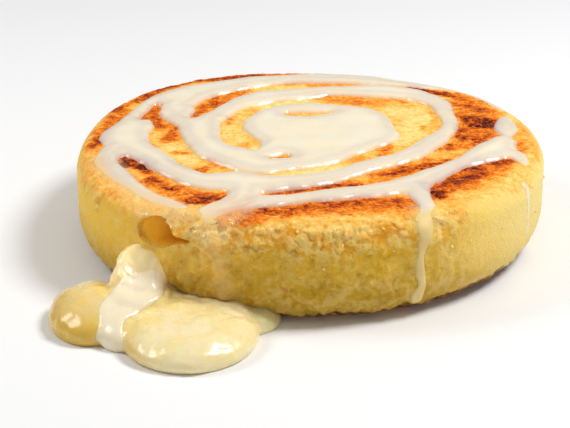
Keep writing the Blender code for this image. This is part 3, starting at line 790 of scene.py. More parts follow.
class Finish:
    """A material in the making, around one Principled shader."""

    def __init__(self, name, **constants):
        self.material = bpy.data.materials.new(name)
        self.material.use_nodes = True
        self.tree = self.material.node_tree
        self.shader = self.tree.nodes["Principled BSDF"]
        self.sockets = {socket.name.lower().replace(" ", "_"): socket for socket in self.shader.inputs}
        self.set(**constants)

    def put(self, socket, value):
        """Links the socket to another node's output, or sets it to a constant."""
        if isinstance(value, Value):
            self.tree.links.new(value.socket, socket)
        elif socket.type == "RGBA" and len(value) == 3:
            socket.default_value = (*value, 1.0)
        else:
            socket.default_value = value

    def add(self, kind, settings=(), values=(), out=0):
        """A node of that kind. Its settings are set first, then the values or links of its sockets."""
        node = self.tree.nodes.new(kind)
        for name, value in dict(settings).items():
            if name == "stops":
                self.set_stops(node.color_ramp.elements, value)
            else:
                setattr(node, name, value)
        for socket, value in dict(values).items():
            self.put(node.inputs[socket], value)
        return Value(self, node.outputs[out])

    @staticmethod
    def set_stops(elements, stops):
        """Fills a colour ramp with pairs of a place and a colour."""
        while len(elements) < len(stops):
            elements.new(1.0)
        for element, (place, colour) in zip(elements, stops):
            element.position = place
            element.color = (*colour, 1.0)

    def set(self, **values):
        """Sets or links sockets of the shader, by their names in small letters."""
        for name, value in values.items():
            self.put(self.sockets[name], value)

    def marked(self, name):
        """A number stored on the object's vertices."""
        return self.add("ShaderNodeAttribute", {"attribute_name": name}, out=2)

    def noise(self, size, detail=2.0, roughness=0.5):
        """Noise from 0 to 1, with lumps of about that size."""
        place = self.add("ShaderNodeTexCoord", out=3)
        values = {"Vector": place, "Scale": 1 / size, "Detail": detail, "Roughness": roughness}
        return self.add("ShaderNodeTexNoise", (), values)

    def ramp(self, value, *stops):
        return self.add("ShaderNodeValToRGB", {"stops": stops}, {0: value})

    def mix(self, share, first, second):
        """The first colour, with a share of the second."""
        return self.add("ShaderNodeMix", {"data_type": "RGBA"}, {0: share, 6: first, 7: second}, out=2)

    def light(self, share, colour):
        """Light that shines out of the surface, as a share of a colour."""
        self.set(emission_color=self.mix(share, (0.0, 0.0, 0.0), colour), emission_strength=1.0)

    def bump(self, height, distance, strength):
        values = {"Height": height, "Distance": distance, "Strength": strength}
        return self.add("ShaderNodeBump", (), values)


def corn_cake_finish(colours):
    """Browned crust on top, crumb and skin down the wall, the hollow of the tear and the dark foot, with
    painted shade on the torn front, low on the wall, in the cracks and in the hollow, and painted light on
    the wall's right and in the hollow.
    """
    made = Finish("corn_cake", subsurface_weight=0.25, subsurface_scale=1.6 * MM, specular_ior_level=0.1)
    made.set(subsurface_radius=(1.0, 0.5, 0.18), coat_roughness=0.16)
    coarse, mottle = made.noise(2.8 * MM, 3.0, 0.6), made.noise(1.2 * MM, 3.0, 0.6)
    speck, grain = made.noise(0.6 * MM, 3.0, 0.65), made.noise(0.3 * MM, 2.0, 0.7)
    brown = made.marked("browning")
    brown = brown + (coarse - 0.5) * (brown * 0.9 + 0.1) + (mottle - 0.5) * (brown * 0.9 + 0.3)
    brown = brown + (speck - 0.5) * (brown * 0.4 + 0.1)
    crust = made.ramp(
        brown,
        (0.08, colours.pale_crust),
        (0.30, colours.golden_crust),
        (0.55, colours.orange_crust),
        (0.80, colours.dark_crust),
        (1.00, colours.charred_crust),
    )
    # The torn crumb of the front, darker and more saturated than the skin, is partly its own colour and
    # partly painted shade of the front.
    crumb = made.mix(made.marked("skin"), colours.crumb, colours.skin)
    crumb = made.mix(made.marked("ragged") * 0.7, crumb, colours.skin)
    # Painted light: paler skin on the right of the wall.
    crumb = made.mix(made.marked("pale"), crumb, colours.pale_skin)
    # Painted shade: the crumb darker and more olive low down on the wall, less so on the right.
    crumb = made.mix(made.marked("low") * 0.8, crumb, colours.crumb_low)
    shoulder = made.mix((coarse + mottle - 1.0).eased(-0.10, 0.16), colours.amber_crumb, colours.flake)
    crumb = made.mix(made.marked("shoulder") * 0.85, crumb, shoulder)
    crumb = made.mix((coarse + mottle - 1.0).eased(-0.22, 0.25) * 0.35, crumb, colours.crumb_light)
    # Painted shade: the cracks and the slots between flakes are darkened.
    crumb = made.mix(made.marked("crack") * 0.4, crumb, colours.crumb_deep_and_shade)
    crumb = made.mix(speck.eased(0.66, 0.76) * 0.5, crumb, colours.crumb_light)
    crumb = made.mix((1.0 - speck).eased(0.70, 0.78) * 0.35, crumb, colours.crumb_deep_and_shade)
    flake = made.mix(mottle.eased(0.40, 0.66), colours.flake, colours.golden_crust)
    crumb = made.mix(made.marked("flake") * 0.85, crumb, flake)
    # Painted shade and light in the tear: the hollow is painted darker amber, and its left and lower side is
    # painted lighter, towards the skin.
    hollow = made.mix(made.marked("lit") * 0.9, colours.hollow, colours.skin)
    crumb = made.mix(made.marked("hollow"), crumb, hollow)
    foot = made.mix(mottle.eased(0.35, 0.7), colours.foot, colours.foot_dark)
    crumb = made.mix(made.marked("foot"), crumb, foot)
    colour = made.mix(made.marked("crust"), crumb, crust)
    film = made.marked("film")
    colour = made.mix(film * 0.35, colour, colours.film)
    rough = 1.0 - made.marked("crust") * 0.75
    bump = made.bump((grain * 0.5 + speck * 0.9 + mottle * 0.9) * rough, 0.32 * MM, 0.8)
    wet = (coarse + mottle * 0.5).eased(0.78, 0.90) * (0.5 - brown * 0.3) + made.marked("ragged") * 0.7
    dull = 0.58 + (mottle - 0.5) * 0.4 - wet * 0.5
    made.set(base_color=colour, roughness=dull, coat_weight=wet * 0.6 + film * 0.4, normal=bump)
    # Painted glow: emission in the tear's hollow.
    made.light(made.marked("glow") * HOLLOW_GLOW, hollow)
    return made.material


def milk_finish(name, colours):
    """Glossy milk, tinted by the crust below where it is thin, and by the crumb where it has run down, with
    painted shade on its narrow strands and, where marked, a painted glow.
    """
    made = Finish(name, subsurface_weight=0.35, subsurface_scale=1.2 * MM, coat_roughness=0.08)
    made.set(subsurface_radius=(1.0, 0.8, 0.5))
    cloud, under, depth = made.noise(7 * MM), made.marked("under"), made.marked("depth")
    thin, wall = 1.0 - depth.eased(0.0, 1.8 * MM), made.marked("wall")
    faint = made.marked("faint") * (1.0 - depth.eased(0.5 * MM, 4.0 * MM))
    colour = made.mix(cloud.eased(0.4, 0.65), colours.milk, colours.milk_shade)
    # Painted shade on the narrow strands, stronger over browned crust, where thin milk also looks greyer.
    colour = made.mix(made.marked("lean") * (under * 0.6 + 0.2), colour, colours.lean_milk)
    edge = made.mix(under.eased(0.2, 0.6), colours.milk_thin, colours.milk_over_brown)
    colour = made.mix(thin * 0.6, colour, edge)
    below = made.ramp(
        under,
        (0.10, colours.pale_crust),
        (0.35, colours.golden_crust),
        (0.70, colours.orange_crust),
    )
    colour = made.mix((1.0 - depth.eased(-0.1 * MM, 0.7 * MM)) * 0.4 + faint * 0.45, colour, below)
    colour = made.mix(wall * 0.95, colour, colours.milk_on_wall)
    ripple = made.bump(cloud + made.noise(2.2 * MM) * 0.4, 0.06 * MM, 0.5)
    made.set(base_color=colour, roughness=0.18 + cloud * 0.1 + wall * 0.3, normal=ripple)
    made.set(coat_weight=0.2 - wall * 0.2)
    # Painted glow on the marked milk: the run's high part over the cheese, in the cake's shade.
    made.light(made.marked("lifted") * SHADE_GLOW, colours.milk)
    return made.material


def cheese_finish(colours):
    """Pale glossy cheese with curds, amber over its left lobe and milk stirred into its right one, with
    painted light on its upper right and on the hanging cheese, painted glow on its high parts, and painted
    shade on the milky part.
    """
    made = Finish("melted_cheese", subsurface_weight=0.4, subsurface_scale=2.5 * MM)
    made.set(subsurface_radius=(1.0, 0.6, 0.25), coat_weight=0.4, coat_roughness=0.12)
    cloud, curd = made.noise(8 * MM), made.noise(2.4 * MM)
    colour = made.mix(cloud.eased(0.38, 0.66), colours.cheese, colours.cheese_light)
    colour = made.mix(curd.eased(0.50, 0.72) * 0.3, colour, colours.cheese_deep)
    # Paler cream on the main lobe's low front; painted light on its upper right and on the cheese hanging out
    # of the tear.
    colour = made.mix(made.marked("cream") * 0.9, colour, colours.cheese_light)
    colour = made.mix(made.marked("amber") * 0.85, colour, colours.cheese_amber)
    # Milk stirred into the cheese, its colour darkened as painted shade of the cake.
    colour = made.mix(made.marked("milky") * 0.8, colour, colours.milky_cheese)
    bump = made.bump(curd * 0.5 + made.noise(0.9 * MM, 1.0) * made.marked("curdy") * 0.4, 0.35 * MM, 0.7)
    made.set(base_color=colour, roughness=0.2 + curd * 0.15, normal=bump)
    # Painted glow on the high cheese, in the cake's shade.
    made.light(made.marked("lifted") * SHADE_GLOW, colours.cheese)
    return made.material


def crumbs_finish(colours):
    """Dry, pale crumb."""
    made = Finish("crumbs", subsurface_weight=0.1, subsurface_scale=0.3 * MM, specular_ior_level=0.1)
    mottle = made.noise(1.3 * MM, 3.0, 0.6)
    colour = made.mix(mottle.eased(0.35, 0.7) * 0.6, colours.crumb_light, colours.flake)
    bump = made.bump(made.noise(0.4 * MM, 3.0, 0.7), 0.2 * MM, 0.6)
    made.set(base_color=colour, roughness=0.6 + mottle * 0.3, normal=bump)
    return made.material


def floor_finish(colours):
    """A plain pale floor."""
    made = Finish("floor", specular_ior_level=0.2)
    grain = made.noise(120 * MM)
    made.set(base_color=made.mix(grain * 0.04, colours.floor, (0.8, 0.8, 0.8)), roughness=0.85 + grain * 0.05)
    return made.material


# What a user would change


def colour_property(name, description, *levels):
    """A colour that shows in the panel, given in levels of 0 to 255."""
    return bpy.props.FloatVectorProperty(
        name=name, description=description, subtype="COLOR", size=3, min=0.0, max=1.0, default=srgb(*levels)
    )


class ArepaColours(bpy.types.PropertyGroup):
    """Colours of the arepa's finishes."""

    pale_crust: colour_property("Pale crust", "Crust that has hardly browned", 255, 226, 146)
    golden_crust: colour_property("Golden crust", "Lightly browned crust", 252, 184, 78)
    orange_crust: colour_property("Orange crust", "Well browned crust", 236, 124, 18)
    dark_crust: colour_property("Dark crust", "Dark brown crust", 172, 60, 2)
    charred_crust: colour_property("Charred crust", "Darkest spots of the crust", 56, 12, 3)
    # Torn crumb of the front: its own colour, darkened as painted shade of the front.
    crumb: colour_property("Crumb", "Torn crumb of the front wall", 228, 180, 44)
    crumb_light: colour_property("Light crumb", "Grains and flakes in the crumb", 252, 224, 140)
    # Painted shade: darker crumb low down on the wall.
    crumb_low: colour_property("Low crumb", "Denser crumb low down on the wall", 182, 142, 34)
    # Deep crumb: painted shade in the cracks and the slots between flakes, and random darker specks.
    crumb_deep_and_shade: colour_property("Deep crumb", "Cracks of the crumb", 196, 116, 10)
    amber_crumb: colour_property("Amber crumb", "Moist crumb just below the crust", 242, 166, 32)
    flake: colour_property("Flake", "Pale flakes below the crust's edge", 255, 222, 130)
    skin: colour_property("Skin", "Whole skin of the wall", 252, 200, 66)
    # Painted light: the skin painted paler on the right.
    pale_skin: colour_property("Pale skin", "Paler skin at the right", 255, 224, 136)
    # Painted shade: the darker amber inside the tear.
    hollow: colour_property("Hollow", "Inside of the tear", 230, 152, 0)
    foot: colour_property("Foot", "Crust at the foot of the wall", 160, 118, 66)
    foot_dark: colour_property("Dark foot", "Darkest crust at the foot", 92, 56, 30)
    film: colour_property("Film", "Thin milk soaked into the crust", 250, 214, 146)
    milk: colour_property("Milk", "Condensed milk", 248, 236, 210)
    milk_shade: colour_property("Milk shade", "Slightly warmer clouds in the milk", 249, 234, 202)
    milk_thin: colour_property("Thin milk", "Milk at its thin edges, over pale crust", 252, 234, 198)
    # Painted shade of the narrow strands; greyer where thin milk lies over browned crust.
    lean_milk: colour_property("Lean milk", "Milk of the narrow strands", 208, 192, 180)
    milk_over_brown: colour_property("Milk over brown", "Milk with browned crust below it", 220, 200, 192)
    milk_on_wall: colour_property("Milk on the wall", "Thin milk that has run down the wall", 232, 202, 128)
    cheese: colour_property("Cheese", "Melted cheese", 251, 223, 146)
    # Light cheese: paler clouds, and the painted light on the upper right and on the hanging cheese.
    cheese_light: colour_property("Light cheese", "Paler clouds in the cheese", 251, 233, 186)
    cheese_deep: colour_property("Deep cheese", "Fatty yellow curds", 246, 198, 84)
    # Amber over the left lobe, darker towards its bottom, and along the main lobe's low left front.
    cheese_amber: colour_property("Amber cheese", "Clear fat in the left lobe", 218, 176, 36)
    # Milk stirred into the cheese, darkened as painted shade of the cake.
    milky_cheese: colour_property("Milky cheese", "Cheese with milk stirred in", 232, 224, 166)
    floor: colour_property("Floor", "The pale floor", 244, 244, 244)


class ArepaSizes(bpy.types.PropertyGroup):
    """Sizes that don't change the solids' form."""

    milk_thickness: bpy.props.FloatProperty(
        name="Milk thickness",
        description="Thickness of the condensed milk at the middle of a strand",
        default=1.1 * MM,
        min=0.5 * MM,
        max=2.0 * MM,
        unit="LENGTH",
    )
    crust_relief: bpy.props.FloatProperty(
        name="Crust relief",
        description="Strength of the blisters, cracks and pits",
        default=1.0,
        min=0.0,
        max=1.5,
        subtype="FACTOR",
    )
    crumbs: bpy.props.IntProperty(
        name="Crumbs", description="Loose crumbs on the crust's edge", default=16, min=0, max=800
    )
    key_light: bpy.props.FloatProperty(
        name="Key light", description="Power of the main light", default=2.35, min=0.0, unit="POWER"
    )
    fill_light: bpy.props.FloatProperty(
        name="Fill light", description="Power of the second light", default=0.95, min=0.0, unit="POWER"
    )
    sky: bpy.props.FloatProperty(
        name="Room light", description="Brightness of the white room", default=0.36, min=0.0, max=2.0
    )


# Pieces


def cake_grid():
    """Ways and bearings of the cake's vertices, with its two middle points last, and its faces."""
    top = np.arange(MIDDLE_COURSES[-1] * MM + TOP_STEP, TOP_FLAT, TOP_STEP)
    wall = np.arange(TOP_FLAT, FOOT_END, WALL_STEP)
    under = [UNDERSIDE_END - radius * MM for radius in UNDERSIDE_COURSES]
    ways = np.concatenate([np.array(MIDDLE_COURSES) * MM, top, wall, [FOOT_END], under])
    first, last = (radians(bearing) for bearing in FRONT_BEARINGS)
    stretches = ((first, last, WALL_STEP), (last, first + 2 * pi, TOP_STEP))
    turns = np.concatenate(
        [np.linspace(a, b, round((b - a) * CAKE_RADIUS / step), endpoint=False) for a, b, step in stretches]
    )
    way, angle = (grid.ravel() for grid in np.meshgrid(ways, turns, indexing="ij"))
    first = np.arange(len(way)).reshape(len(ways), len(turns))
    after = np.roll(first, -1, axis=1)
    quads = np.stack([first[:-1], first[1:], after[1:], after[:-1]], axis=-1).reshape(-1, 4)
    top, bottom = len(way), len(way) + 1
    caps = [(top, a, b) for a, b in zip(first[0], after[0])]
    caps += [(bottom, b, a) for a, b in zip(first[-1], after[-1])]
    angle = (angle + pi) % (2 * pi) - pi
    return np.append(way, [0.0, UNDERSIDE_END]), np.append(angle, [0.0, 0.0]), [*quads.tolist(), *caps]


def tear_frame():
    """Where the tear lies, how it is turned, and its half size."""
    angle = radians(TEAR_BEARING)
    place = on_cake(np.array([way_down(TEAR_HEIGHT)]), np.array([angle]))[0]
    turned = Matrix.Rotation(angle, 4, "Z") @ Matrix.Rotation(radians(TEAR_TILT), 4, "X")
    return Matrix.Translation(place) @ turned @ Matrix.Diagonal((*TEAR_HALF_SIZE, 1.0))


def tear_cutter():
    """The hollow that the tear opens, round at its left and drawn out to a point at its right."""
    bpy.ops.mesh.primitive_ico_sphere_add(subdivisions=5, radius=1.0)
    made = bpy.context.object
    points = places_of(made)
    right = ease(0.0, 1.0, points[:, 1])
    points[:, 1] *= np.where(points[:, 1] > 0, TEAR_DRAWN_OUT, TEAR_LEFT)
    points[:, 2] *= np.where(points[:, 2] < 0, TEAR_FLOOR, 1.0)
    points[:, 2] *= 1 - TEAR_NARROWS * right
    points[:, 2] += TEAR_POINT_RISE * right
    points *= (1 + 0.10 * noise(points, 0.7) + 0.04 * noise(points, 0.25))[:, None]
    move_to(made, points)
    made.matrix_world = tear_frame()
    return baked(made)


def in_tear(points):
    """Every point's place in the tear's own frame, as shares of its half size."""
    back = np.array(tear_frame().inverted())
    return points @ back[:3, :3].T + back[:3, 3]


def soften_tear(cake):
    """Rounds the tear's sharp lips."""
    near = np.flatnonzero(np.linalg.norm(in_tear(places_of(cake)), axis=1) < LIPS_NEAR)
    group = cake.vertex_groups.new(name="tear")
    group.add(near.tolist(), 1.0, "REPLACE")
    soften = cake.modifiers.new("soften", "SMOOTH")
    soften.iterations = LIPS_SMOOTHING
    soften.vertex_group = "tear"
    baked(cake)
    cake.vertex_groups.clear()


def cheese_form(name, grow, cell, softening):
    """The lumps of cheese run together, larger all round by grow."""
    meshes = []
    for row in CHEESE_LUMPS:
        x, y, z, half_x, half_y, half_z = (value * MM for value in row)
        bpy.ops.mesh.primitive_ico_sphere_add(subdivisions=4, radius=1.0, location=(x, y, z))
        lump = bpy.context.object
        lump.scale = (half_x + grow, half_y + grow, half_z + grow)
        meshes.append(baked(lump))
    with bpy.context.temp_override(active_object=meshes[0], selected_editable_objects=meshes):
        bpy.ops.object.join()
    made = meshes[0]
    made.name = name
    remesh = made.modifiers.new("run together", "REMESH")
    remesh.mode = "VOXEL"
    remesh.voxel_size = cell
    soften = made.modifiers.new("soften", "SMOOTH")
    soften.iterations = softening
    return baked(made)


def wall_depth(points):
    """How far every point lies below the cake's smooth outside, towards its axis."""
    angle = np.arctan2(points[:, 1], points[:, 0])
    radius, height, _, _ = section(SIDE_WAYS)
    outside = np.interp(-points[:, 2], -height, radius) * growth(angle)
    return outside - np.hypot(points[:, 0], points[:, 1])


def make_corn_cake(colours, sizes):
    """The cake, with relief all over and the tear and the cheese cut out of it."""
    way, angle, faces = cake_grid()
    plan = rolled_out(way, angle)
    base = on_cake(way, angle)
    brown = browned(plan)
    covered = ease(-0.2 * MM, 1.4 * MM, milk_depth(plan))
    fine = fine_relief(base, way, angle, brown)[0]
    lift = soft_relief(base, way, angle) + sizes.crust_relief * fine * (1 - covered)
    lift *= 1 - ease(FOOT_END - 2 * MM, FOOT_END, way)
    cake = mesh_object("corn_cake", on_cake(way, angle, lift), faces)
    cut(cake, tear_cutter(), cheese_form("cheese_room", -CHEESE_BITE, ROOM_CELL, ROOM_SMOOTHING))
    soften_tear(cake)
    mark_cake(cake)
    finished(cake, corn_cake_finish(colours), "corn_cake", "arepa")


def mark_cake(cake):
    """Works out again, from the places left after the cut, what the finish needs."""
    points = places_of(cake)
    height = points[:, 2]
    angle = np.arctan2(points[:, 1], points[:, 0])
    radius = np.hypot(points[:, 0], points[:, 1]) / growth(angle)
    on_side = way_down(height)
    high = ease(CAKE_HEIGHT - 1.6 * MM, CAKE_HEIGHT - 0.4 * MM, height)
    on_rim = on_side * (1 - high) + high * np.minimum(radius, on_side)
    way = np.where(radius < TOP_FLAT - 1 * MM, radius, on_rim)
    plan = rolled_out(way, angle)
    brown = browned(plan)
    _, crust, flake, crack = fine_relief(on_cake(way, angle), way, angle, brown)
    place = in_tear(points)
    near = (np.linalg.norm(place, axis=1) < TEAR_NEAR) * (height < CAKE_HEIGHT - 0.8 * MM)
    # Painted shade and light of the tear: the hollow is painted darker with depth, and its left and lower
    # side is painted lighter.
    lit = np.minimum(1.0, ease(0.0, -0.8, place[:, 1]) + 0.5 * ease(0.0, -0.7, place[:, 2]))
    hollow = ease(*HOLLOW_DEPTHS, wall_depth(points)) * near
    foot_line = FOOT_EDGE + FOOT_RISE * between(FOOT_SHOWS, angle) + MM * lumpy(points, FOOT_WAVES)
    rough = roughness(angle)
    # Painted light: the skin on the right of the wall is painted paler.
    pale = between(LIT_SKIN, angle)
    films = [inside(plan, strand(film)) for film in FILMS]
    films += [inside(plan, wall_line(film)) for film in WALL_FILMS]
    mark(
        cake,
        browning=brown,
        crust=crust * (1 - hollow),
        crack=crack,
        flake=flake,
        hollow=hollow,
        lit=lit,
        # Painted glow in the tear's hollow, strongest at its left and bottom.
        glow=hollow * np.clip(0.4 - 2.2 * place[:, 1] - 1.0 * place[:, 2], 0.0, 3.5),
        skin=1 - rough,
        pale=pale,
        ragged=between(TEAR_BEARINGS, angle) * ease(*RAGS, height) * (1 - crust),
        # Painted shade low down on the wall, weaker on the right.
        low=ease(*LOW_SHADE, height) * (1 - 0.8 * pale),
        shoulder=ease(*SHOULDER, height + 1.4 * MM * noise(points, 5 * MM, 44)) * rough,
        foot=1 - ease(-0.5 * MM, 0.5 * MM, height - foot_line),
        film=ease(-1.5 * MM, 2.0 * MM, merged(films, 0.5 * MM)) * (1 - hollow),
    )


def make_milk(colours, sizes):
    """The milk on the cake, as a sheet over a grid in plan that follows the cake's surface."""
    reach = np.arange(-MILK_REACH, MILK_REACH, MILK_CELL)
    plan = np.array(np.meshgrid(reach, reach, indexing="ij")).reshape(2, -1).T.copy()
    plan, depth = onto_edge(plan, milk_depth)
    way, angle = rolled_up(plan)
    base = on_cake(way, angle)
    base = on_cake(way, angle, soft_relief(base, way, angle))
    _, _, out, up = section(way)
    normals = np.stack([out * np.cos(angle), out * np.sin(angle), up], axis=1)
    number = np.arange(len(plan)).reshape(len(reach), len(reach))
    faces = np.stack([number[:-1, :-1], number[1:, :-1], number[1:, 1:], number[:-1, 1:]], axis=-1)
    faint = ease(-1 * MM, 2 * MM, merged([inside(plan, strand(patch)) for patch in FAINT_MILK], MILK_MERGE))
    thinner = sum(share * ease(start, end, way) for share, start, end in MILK_THINS)
    rise = milk_rise(depth, sizes.milk_thickness * (1 - thinner) * (1 - 0.6 * faint))
    wall = ease(TOP_FLAT - 1.5 * MM, TOP_FLAT + 2 * MM, way) * (1 - 0.8 * ease(*PALER_RUN, angle))
    # The narrow strands are marked for painted shade.
    marks = {"under": browned(plan), "wall": wall, "lean": 1 - ease(2 * MM, 4.5 * MM, depth), "faint": faint}
    milk = coat("condensed_milk", base, normals, faces.reshape(-1, 4), depth, rise, MILK_SINK, **marks)
    finished(milk, milk_finish("condensed_milk", colours), "condensed_milk", "arepa")


def zone(spans, *values):
    """1 where every value is past its span, from where the zone starts to where it is full; spans in mm."""
    shares = [ease(start * MM, full * MM, value) for (start, full), value in zip(spans, values)]
    return np.prod(shares, axis=0)


def make_cheese(colours):
    """The melted cheese: its lumps run together, flattened where it lies and curdy on the main lobe."""
    cheese = cheese_form("melted_cheese", 0.0, CHEESE_CELL, CHEESE_SMOOTHING)
    points, normals = places_of(cheese), normals_of(cheese)
    x, y, z = points.T
    main = zone(MAIN_LOBE, x, y)
    curdy = main * zone(CURDS, z, y)
    swell = 0.42 * noise(points, 6.0 * MM, 50) + (0.20 + 0.15 * curdy) * noise(points, 2.6 * MM, 51)
    swell += (0.05 + 0.08 * curdy + 0.22 * ease(*HANGING, z)) * noise(points, 1.2 * MM, 52)
    below_milk = ease(-1 * MM, 1 * MM, inside(points, strand(CHEESE_RUN)))
    swell *= ease(-0.2 * MM, 2.0 * MM, z) * (1 - 0.8 * below_milk)
    points[:, 2] -= CHEESE_FLATTENED * main * np.maximum(0.0, z - CHEESE_FLAT)
    points += normals * (MM * swell)[:, None]
    points[:, 2] = np.maximum(points[:, 2], 0.0)
    move_to(cheese, points)
    left = zone(LEFT_LOBE, x, y)
    low = ease(5.6 * MM, 2.0 * MM, z)
    left_front = main * low * ease(-30 * MM, -37 * MM, x)
    right = (1 - low) * ease(-30 * MM, -20 * MM, x)
    # Amber over the left lobe, darker towards its bottom, and along the main lobe's low left front.
    amber = np.maximum(left * (0.55 + 0.45 * ease(8 * MM, 3 * MM, z)), 0.8 * left_front)
    # Paler cream on the main lobe's low front, and painted light on its upper right and on the cheese hanging
    # in the cake's shade.
    cream = 0.6 * np.maximum(main * (low + right) - left_front, 0.6 * ease(*HANGING, z))
    milky = ease(-1.5 * MM, 1.5 * MM, inside(points, strand(MILKY_LOBE)))
    # The high cheese, in the cake's shade, is marked for a painted glow.
    mark(cheese, curdy=curdy, milky=milky, amber=amber, cream=cream, lifted=ease(*SHADED, z))
    finished(cheese, cheese_finish(colours), "melted_cheese", "cheese")
    return cheese


def make_milk_run(colours, sizes, cheese):
    """The milk that runs over the cheese, grown from the cheese's own surface."""
    line = strand(CHEESE_RUN)
    quads = [face.vertices[:] for face in cheese.data.polygons if len(face.vertices) == 4]
    points = places_of(cheese)
    points, depth = onto_edge(points, lambda places: inside(places, line))
    rise = milk_rise(depth, RUN_THICKNESS * sizes.milk_thickness)
    # The run's high part, in the cake's shade, is marked for a painted glow.
    marks = {"wall": np.full(len(points), RUN_WARMTH), "lifted": ease(*SHADED, points[:, 2])}
    run = coat("milk_run", points, normals_of(cheese), np.array(quads), depth, rise, RUN_SINK, **marks)
    soften = run.modifiers.new("soften", "SMOOTH")
    soften.iterations = RUN_SMOOTHING
    places = places_of(baked(run))
    places[:, 2] = np.maximum(places[:, 2], 0.0)
    move_to(run, places)
    finished(run, milk_finish("milk_run", colours), "condensed_milk", "cheese")


def crumb_places(rng, count):
    """Ways, bearings and sizes of loose crumbs: clusters under the crust's edge, most of them in front."""
    middles = radians(1) * np.concatenate([rng.uniform(*cluster) for cluster in CRUMB_CLUSTERS])
    chosen = rng.integers(0, len(middles), count)
    angle = middles[chosen] + rng.normal(0.0, radians(1.3), count)
    way = crust_edge(middles)[chosen] + MM * np.abs(rng.normal(0.6, 1.0, count))
    return way, angle, MM * rng.uniform(0.2, 0.45, count)


def make_crumbs(colours, sizes):
    """Loose crumbs at the crust's edge and on the wall."""
    rng = np.random.default_rng(CRUMB_SEED)
    bpy.ops.mesh.primitive_ico_sphere_add(subdivisions=2, radius=1.0)
    ball = bpy.context.object
    shape = places_of(ball)
    sides = np.array([face.vertices[:] for face in ball.data.polygons])
    bpy.data.objects.remove(ball, do_unlink=True)
    way, angle, size = crumb_places(rng, sizes.crumbs)
    bearings, heights, spans = np.array(SPECKS).T
    way = np.append(way, way_down(heights * MM))
    angle = np.append(angle, np.radians(bearings))
    size = np.append(size, spans * MM)
    base = on_cake(way, angle)
    lift = soft_relief(base, way, angle) + fine_relief(base, way, angle, np.zeros(len(way)))[0]
    centres = on_cake(way, angle, lift)
    grains = [
        centre + span * shape * (1 + 0.4 * noise(shape, 0.8, number))[:, None] * rng.uniform(0.6, 1.3, 3)
        for number, (centre, span) in enumerate(zip(centres, size))
    ]
    faces = np.vstack([sides + number * len(shape) for number in range(len(grains))])
    crumbs = mesh_object("crumbs", np.vstack(grains), faces)
    finished(crumbs, crumbs_finish(colours), "corn_cake")


def area_light(name, place, size, power):
    """A round lamp that shines at the origin."""
    lamp = bpy.data.lights.new(name, "AREA")
    lamp.shape = "DISK"
    lamp.energy = power
    lamp.size = size
    made = link(name, lamp)
    made.location = place
    made.rotation_euler = Vector(place).to_track_quat("Z", "Y").to_euler()


def make_stage(colours, sizes):
    """A pale floor, two soft lamps in a white room, and the camera."""
    bpy.ops.mesh.primitive_plane_add(size=6.0, location=(0.0, 0.0, 0.0))
    floor = bpy.context.object
    floor.name = "floor"
    floor.data.materials.append(floor_finish(colours))

    scene = bpy.context.scene
    scene.world = bpy.data.worlds.new("room")
    scene.world.use_nodes = True
    room = scene.world.node_tree.nodes["Background"]
    room.inputs["Color"].default_value = (1.0, 1.0, 1.0, 1.0)
    room.inputs["Strength"].default_value = sizes.sky
    area_light("key", *KEY_LAMP, sizes.key_light)
    area_light("fill", *FILL_LAMP, sizes.fill_light)
    scene.view_settings.view_transform = "Standard"

    camera = bpy.data.cameras.new("camera")
    camera.lens = FOCAL_LENGTH / PHOTO_WIDTH * camera.sensor_width
    camera.clip_start = 0.01
    holder = link("camera", camera)
    outward = Vector((0.0, -np.cos(CAMERA_ELEVATION), np.sin(CAMERA_ELEVATION)))
    holder.location = CAMERA_AIM + CAMERA_DISTANCE * outward
    holder.rotation_euler = (pi / 2 - CAMERA_ELEVATION, 0.0, 0.0)
    scene.camera = holder


# Operators and panel


def settings(context):
    """The colours and the sizes that the panel shows."""
    return context.scene.arepa_colours, context.scene.arepa_sizes


class AREPA_OT_stage(bpy.types.Operator):
    """Adds the floor, the lights and the camera"""

    bl_idname = "arepa.stage"
    bl_label = "Stage"

    def execute(self, context):
        make_stage(*settings(context))
        return {"FINISHED"}


class AREPA_OT_corn_cake(bpy.types.Operator):
    """Adds the corn cake with its browned crust, torn crumb and the tear"""

    bl_idname = "arepa.corn_cake"
    bl_label = "Corn cake"

    def execute(self, context):
        make_corn_cake(*settings(context))
        return {"FINISHED"}


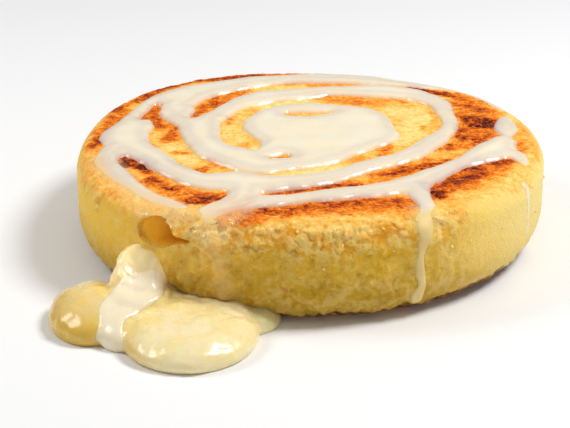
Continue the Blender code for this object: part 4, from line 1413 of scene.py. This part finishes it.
class AREPA_OT_melted_cheese(bpy.types.Operator):
    """Adds the melted cheese and the milk that runs over it"""

    bl_idname = "arepa.melted_cheese"
    bl_label = "Melted cheese"

    def execute(self, context):
        colours, sizes = settings(context)
        make_milk_run(colours, sizes, make_cheese(colours))
        return {"FINISHED"}


class AREPA_OT_condensed_milk(bpy.types.Operator):
    """Adds the condensed milk on the cake"""

    bl_idname = "arepa.condensed_milk"
    bl_label = "Condensed milk"

    def execute(self, context):
        make_milk(*settings(context))
        return {"FINISHED"}


class AREPA_OT_crumbs(bpy.types.Operator):
    """Adds crumbs at the crust's torn edge and on the wall"""

    bl_idname = "arepa.crumbs"
    bl_label = "Crumbs"

    def execute(self, context):
        make_crumbs(*settings(context))
        return {"FINISHED"}


STEPS = (
    AREPA_OT_stage,
    AREPA_OT_corn_cake,
    AREPA_OT_melted_cheese,
    AREPA_OT_condensed_milk,
    AREPA_OT_crumbs,
)


class AREPA_PT_panel(bpy.types.Panel):
    """Sizes, colours and steps of the arepa"""

    bl_label = "Sweet corn arepa"
    bl_space_type = "VIEW_3D"
    bl_region_type = "UI"
    bl_category = "Arepa"

    def draw(self, context):
        for group in reversed(settings(context)):
            box = self.layout.box()
            for name in type(group).__annotations__:
                box.prop(group, name)
        for step in STEPS:
            self.layout.operator(step.bl_idname)


CLASSES = (ArepaColours, ArepaSizes, *STEPS, AREPA_PT_panel)


def register():
    for each in CLASSES:
        bpy.utils.register_class(each)
    bpy.types.Scene.arepa_colours = bpy.props.PointerProperty(type=ArepaColours)
    bpy.types.Scene.arepa_sizes = bpy.props.PointerProperty(type=ArepaSizes)


def unregister():
    del bpy.types.Scene.arepa_sizes
    del bpy.types.Scene.arepa_colours
    for each in reversed(CLASSES):
        bpy.utils.unregister_class(each)


def main():
    register()
    bpy.ops.arepa.stage()
    bpy.ops.arepa.corn_cake()
    bpy.ops.arepa.melted_cheese()
    bpy.ops.arepa.condensed_milk()
    bpy.ops.arepa.crumbs()
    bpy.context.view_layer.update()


if __name__ == "__main__":
    main()
